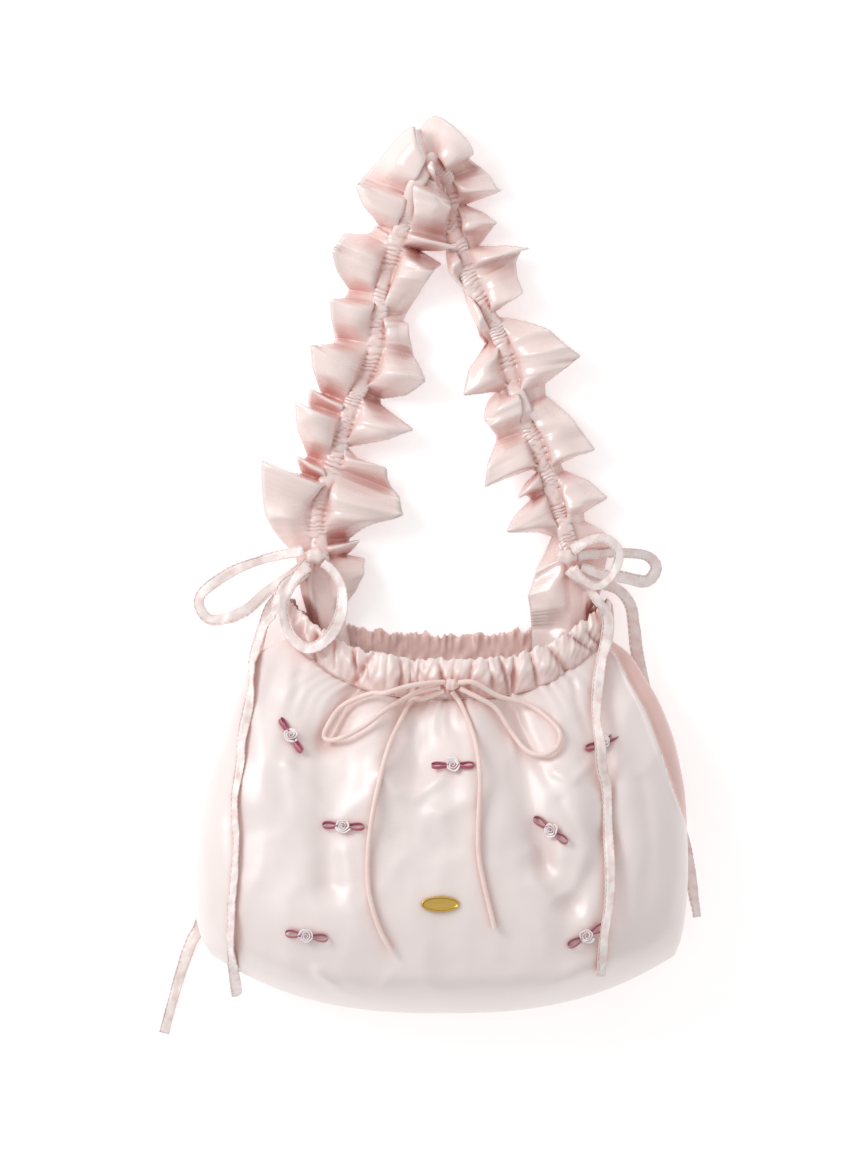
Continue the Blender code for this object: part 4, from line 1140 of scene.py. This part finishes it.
def leafRows(sense, seed):
    rows = []
    lean = radians(rosette["lean"] + rosette["leanRange"] * noiseAt(seed, 1, 1))
    wide = Vector((0, cos(lean), sin(lean)))
    lift = Vector((0, -sin(lean), cos(lean)))
    for step in range(rosette["leafSteps"] + 1):
        angle = pi + 2 * pi * step / rosette["leafSteps"]
        out = rosette["leafRoot"] + rosette["leaf"] / 2 * (1 + cos(angle))
        gape = rosette["eye"] / 2 * sin(angle) * (0.45 + 0.55 * (1 + cos(angle)) / 2)
        middle = Vector((sense * out, 0, rosette["leafRise"])) + lift * gape
        rows.append([middle + wide * rosette["ribbon"] * (side / 4 - 0.5) for side in range(5)])
    return rows


def roseRows(seed):
    rows = []
    heart, foot = rosette["heart"], rosette["foot"]
    for step in range(rosette["steps"] + 1):
        share = step / rosette["steps"]
        angle = 2 * pi * rosette["turns"] * share + seed
        ruffle = 1 + 0.08 * sin(angle * 2.3 + seed) + 0.05 * sin(angle * 5.1)
        reach = (heart + (rosette["rose"] - heart) * share ** 0.85) * ruffle
        top = rosette["roseHeight"] * (1.0 - 0.30 * share) * (1 + 0.08 * sin(angle * 3.1))
        flare = rosette["petal"] * share * (1 + 0.4 * sin(angle * 1.7 + seed))
        row = []
        for ring in range(6):
            rise = ring / 5
            out = reach * (0.72 + 0.28 * rise) + flare * rise ** 3
            height = foot + (top - foot) * sin(rise * pi / 2)
            row.append(Vector((out * cos(angle), out * sin(angle), height)))
        rows.append(row)
    return rows


for number, (column, row, turn) in enumerate(rosettePlaces, 1):
    lie = seat(column, row, turn)
    shape = bmesh.new()
    for sense in (1, -1):
        seed = number * rosette["leafSeed"] + sense
        leaf = gridMesh("leaf", laid(lie, leafRows(sense, seed)))
        shape.from_mesh(leaf)
        bpy.data.meshes.remove(leaf)
    mesh = bpy.data.meshes.new("ribbon_leaves_%d" % number)
    shape.to_mesh(mesh)
    shape.free()
    piece = addPiece("ribbon_leaves_%d" % number, mesh, leafRibbon)
    thicken(piece, rosette["cloth"], 0)
    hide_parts("rosette_%d_leaves" % number)
    mesh = gridMesh("ribbon_rose_%d" % number, laid(lie, roseRows(number * rosette["roseSeed"])))
    piece = addPiece("ribbon_rose_%d" % number, mesh, roseRibbon)
    thicken(piece, rosette["cloth"], 0)
    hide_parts("rosette_%d_rose" % number)
print("rosettes made")

# Oval plaque: a dished, bare middle inside a rolled rim.
plaque = {"place": (440, 901), "length": 0.0235, "depth": 0.0098, "height": 0.0021, "points": 96,
          # inset in metres, height as a share
          "rings": ((0.0, 0.0), (-0.0001, 0.45), (0.00005, 0.8), (0.0004, 1.0), (0.0008, 0.98),
                    (0.0011, 0.72), (0.0012, 0.45), (0.0022, 0.42), (0.0034, 0.42))}
lie = seat(*plaque["place"], 0)
angles = [2 * pi * step / plaque["points"] for step in range(plaque["points"])]
rows = []
for inset, height in plaque["rings"]:
    halfLength, halfDepth = plaque["length"] / 2 - inset, plaque["depth"] / 2 - inset
    rows.append([Vector((halfLength * cos(angle), halfDepth * sin(angle),
                         height * plaque["height"])) for angle in angles])
mesh = gridMesh("oval_plaque", laid(lie, rows), closeAcross=True)
sealMesh(mesh, caps=True)
piece = addPiece("oval_plaque", mesh, plaqueBrass)
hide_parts("plaque")
print("plaque made")

# Studio: pale floor, a sky that is brighter to the left and above, one soft key light.
studio = {"floor": "#FBFBFB", "floorPale": "#FFFFFF", "floorSize": 6.0, "floorLevel": -0.0005,
          "key": (-1.3, 0.75, 1.15), "keySize": 0.8,
          "keyPower": 13.0, "left": 0.71, "right": 0.52, "glow": 0.35}
floorMesh = bpy.data.meshes.new("floor")
half = studio["floorSize"] / 2
corners = [(across * half, along * half, studio["floorLevel"])
           for across, along in ((-1, -1), (1, -1), (1, 1), (-1, 1))]
floorMesh.from_pydata(corners, [], [(0, 1, 2, 3)])
floorPiece = newObject("floor", floorMesh)
paper, tree = newMaterial("white_paper")
grain = addNode(tree, "TexNoise", Scale=40.0, Detail=2.0)
tone = mixed(tree, grain.outputs["Fac"], studio["floor"], studio["floorPale"])
finishMaterial(tree, {"Base_Color": tone}, Roughness=0.9, Specular_IOR_Level=0.1,
               Emission_Color=(1, 1, 1, 1), Emission_Strength=studio["glow"])
floorMesh.materials.append(paper)

world = bpy.data.worlds.new("studio_sky")
bpy.context.scene.world = world
world.use_nodes = True
tree = world.node_tree
tree.nodes.clear()
way = addNode(tree, "SeparateXYZ", {"Vector": addNode(tree, "TexCoord").outputs["Generated"]})
slope = worked(tree, "SUBTRACT", way.outputs["X"], way.outputs["Y"])
lower = worked(tree, "SUBTRACT", slope, way.outputs["Z"])
light = addNode(tree, "MapRange", {"Value": lower}, From_Min=-1.0, From_Max=1.0,
                To_Min=studio["left"], To_Max=studio["right"])
sky = addNode(tree, "Background", {"Strength": light.outputs[0]}, Color=(1, 1, 1, 1))
addNode(tree, "OutputWorld", {"Surface": sky.outputs[0]})

key = bpy.data.lights.new("key", "AREA")
key.size = studio["keySize"]
key.energy = studio["keyPower"]
lamp = newObject("key", key)
lamp.location = studio["key"]
lamp.rotation_euler = (-Vector(studio["key"])).to_track_quat("-Z", "Y").to_euler()
print("studio made")
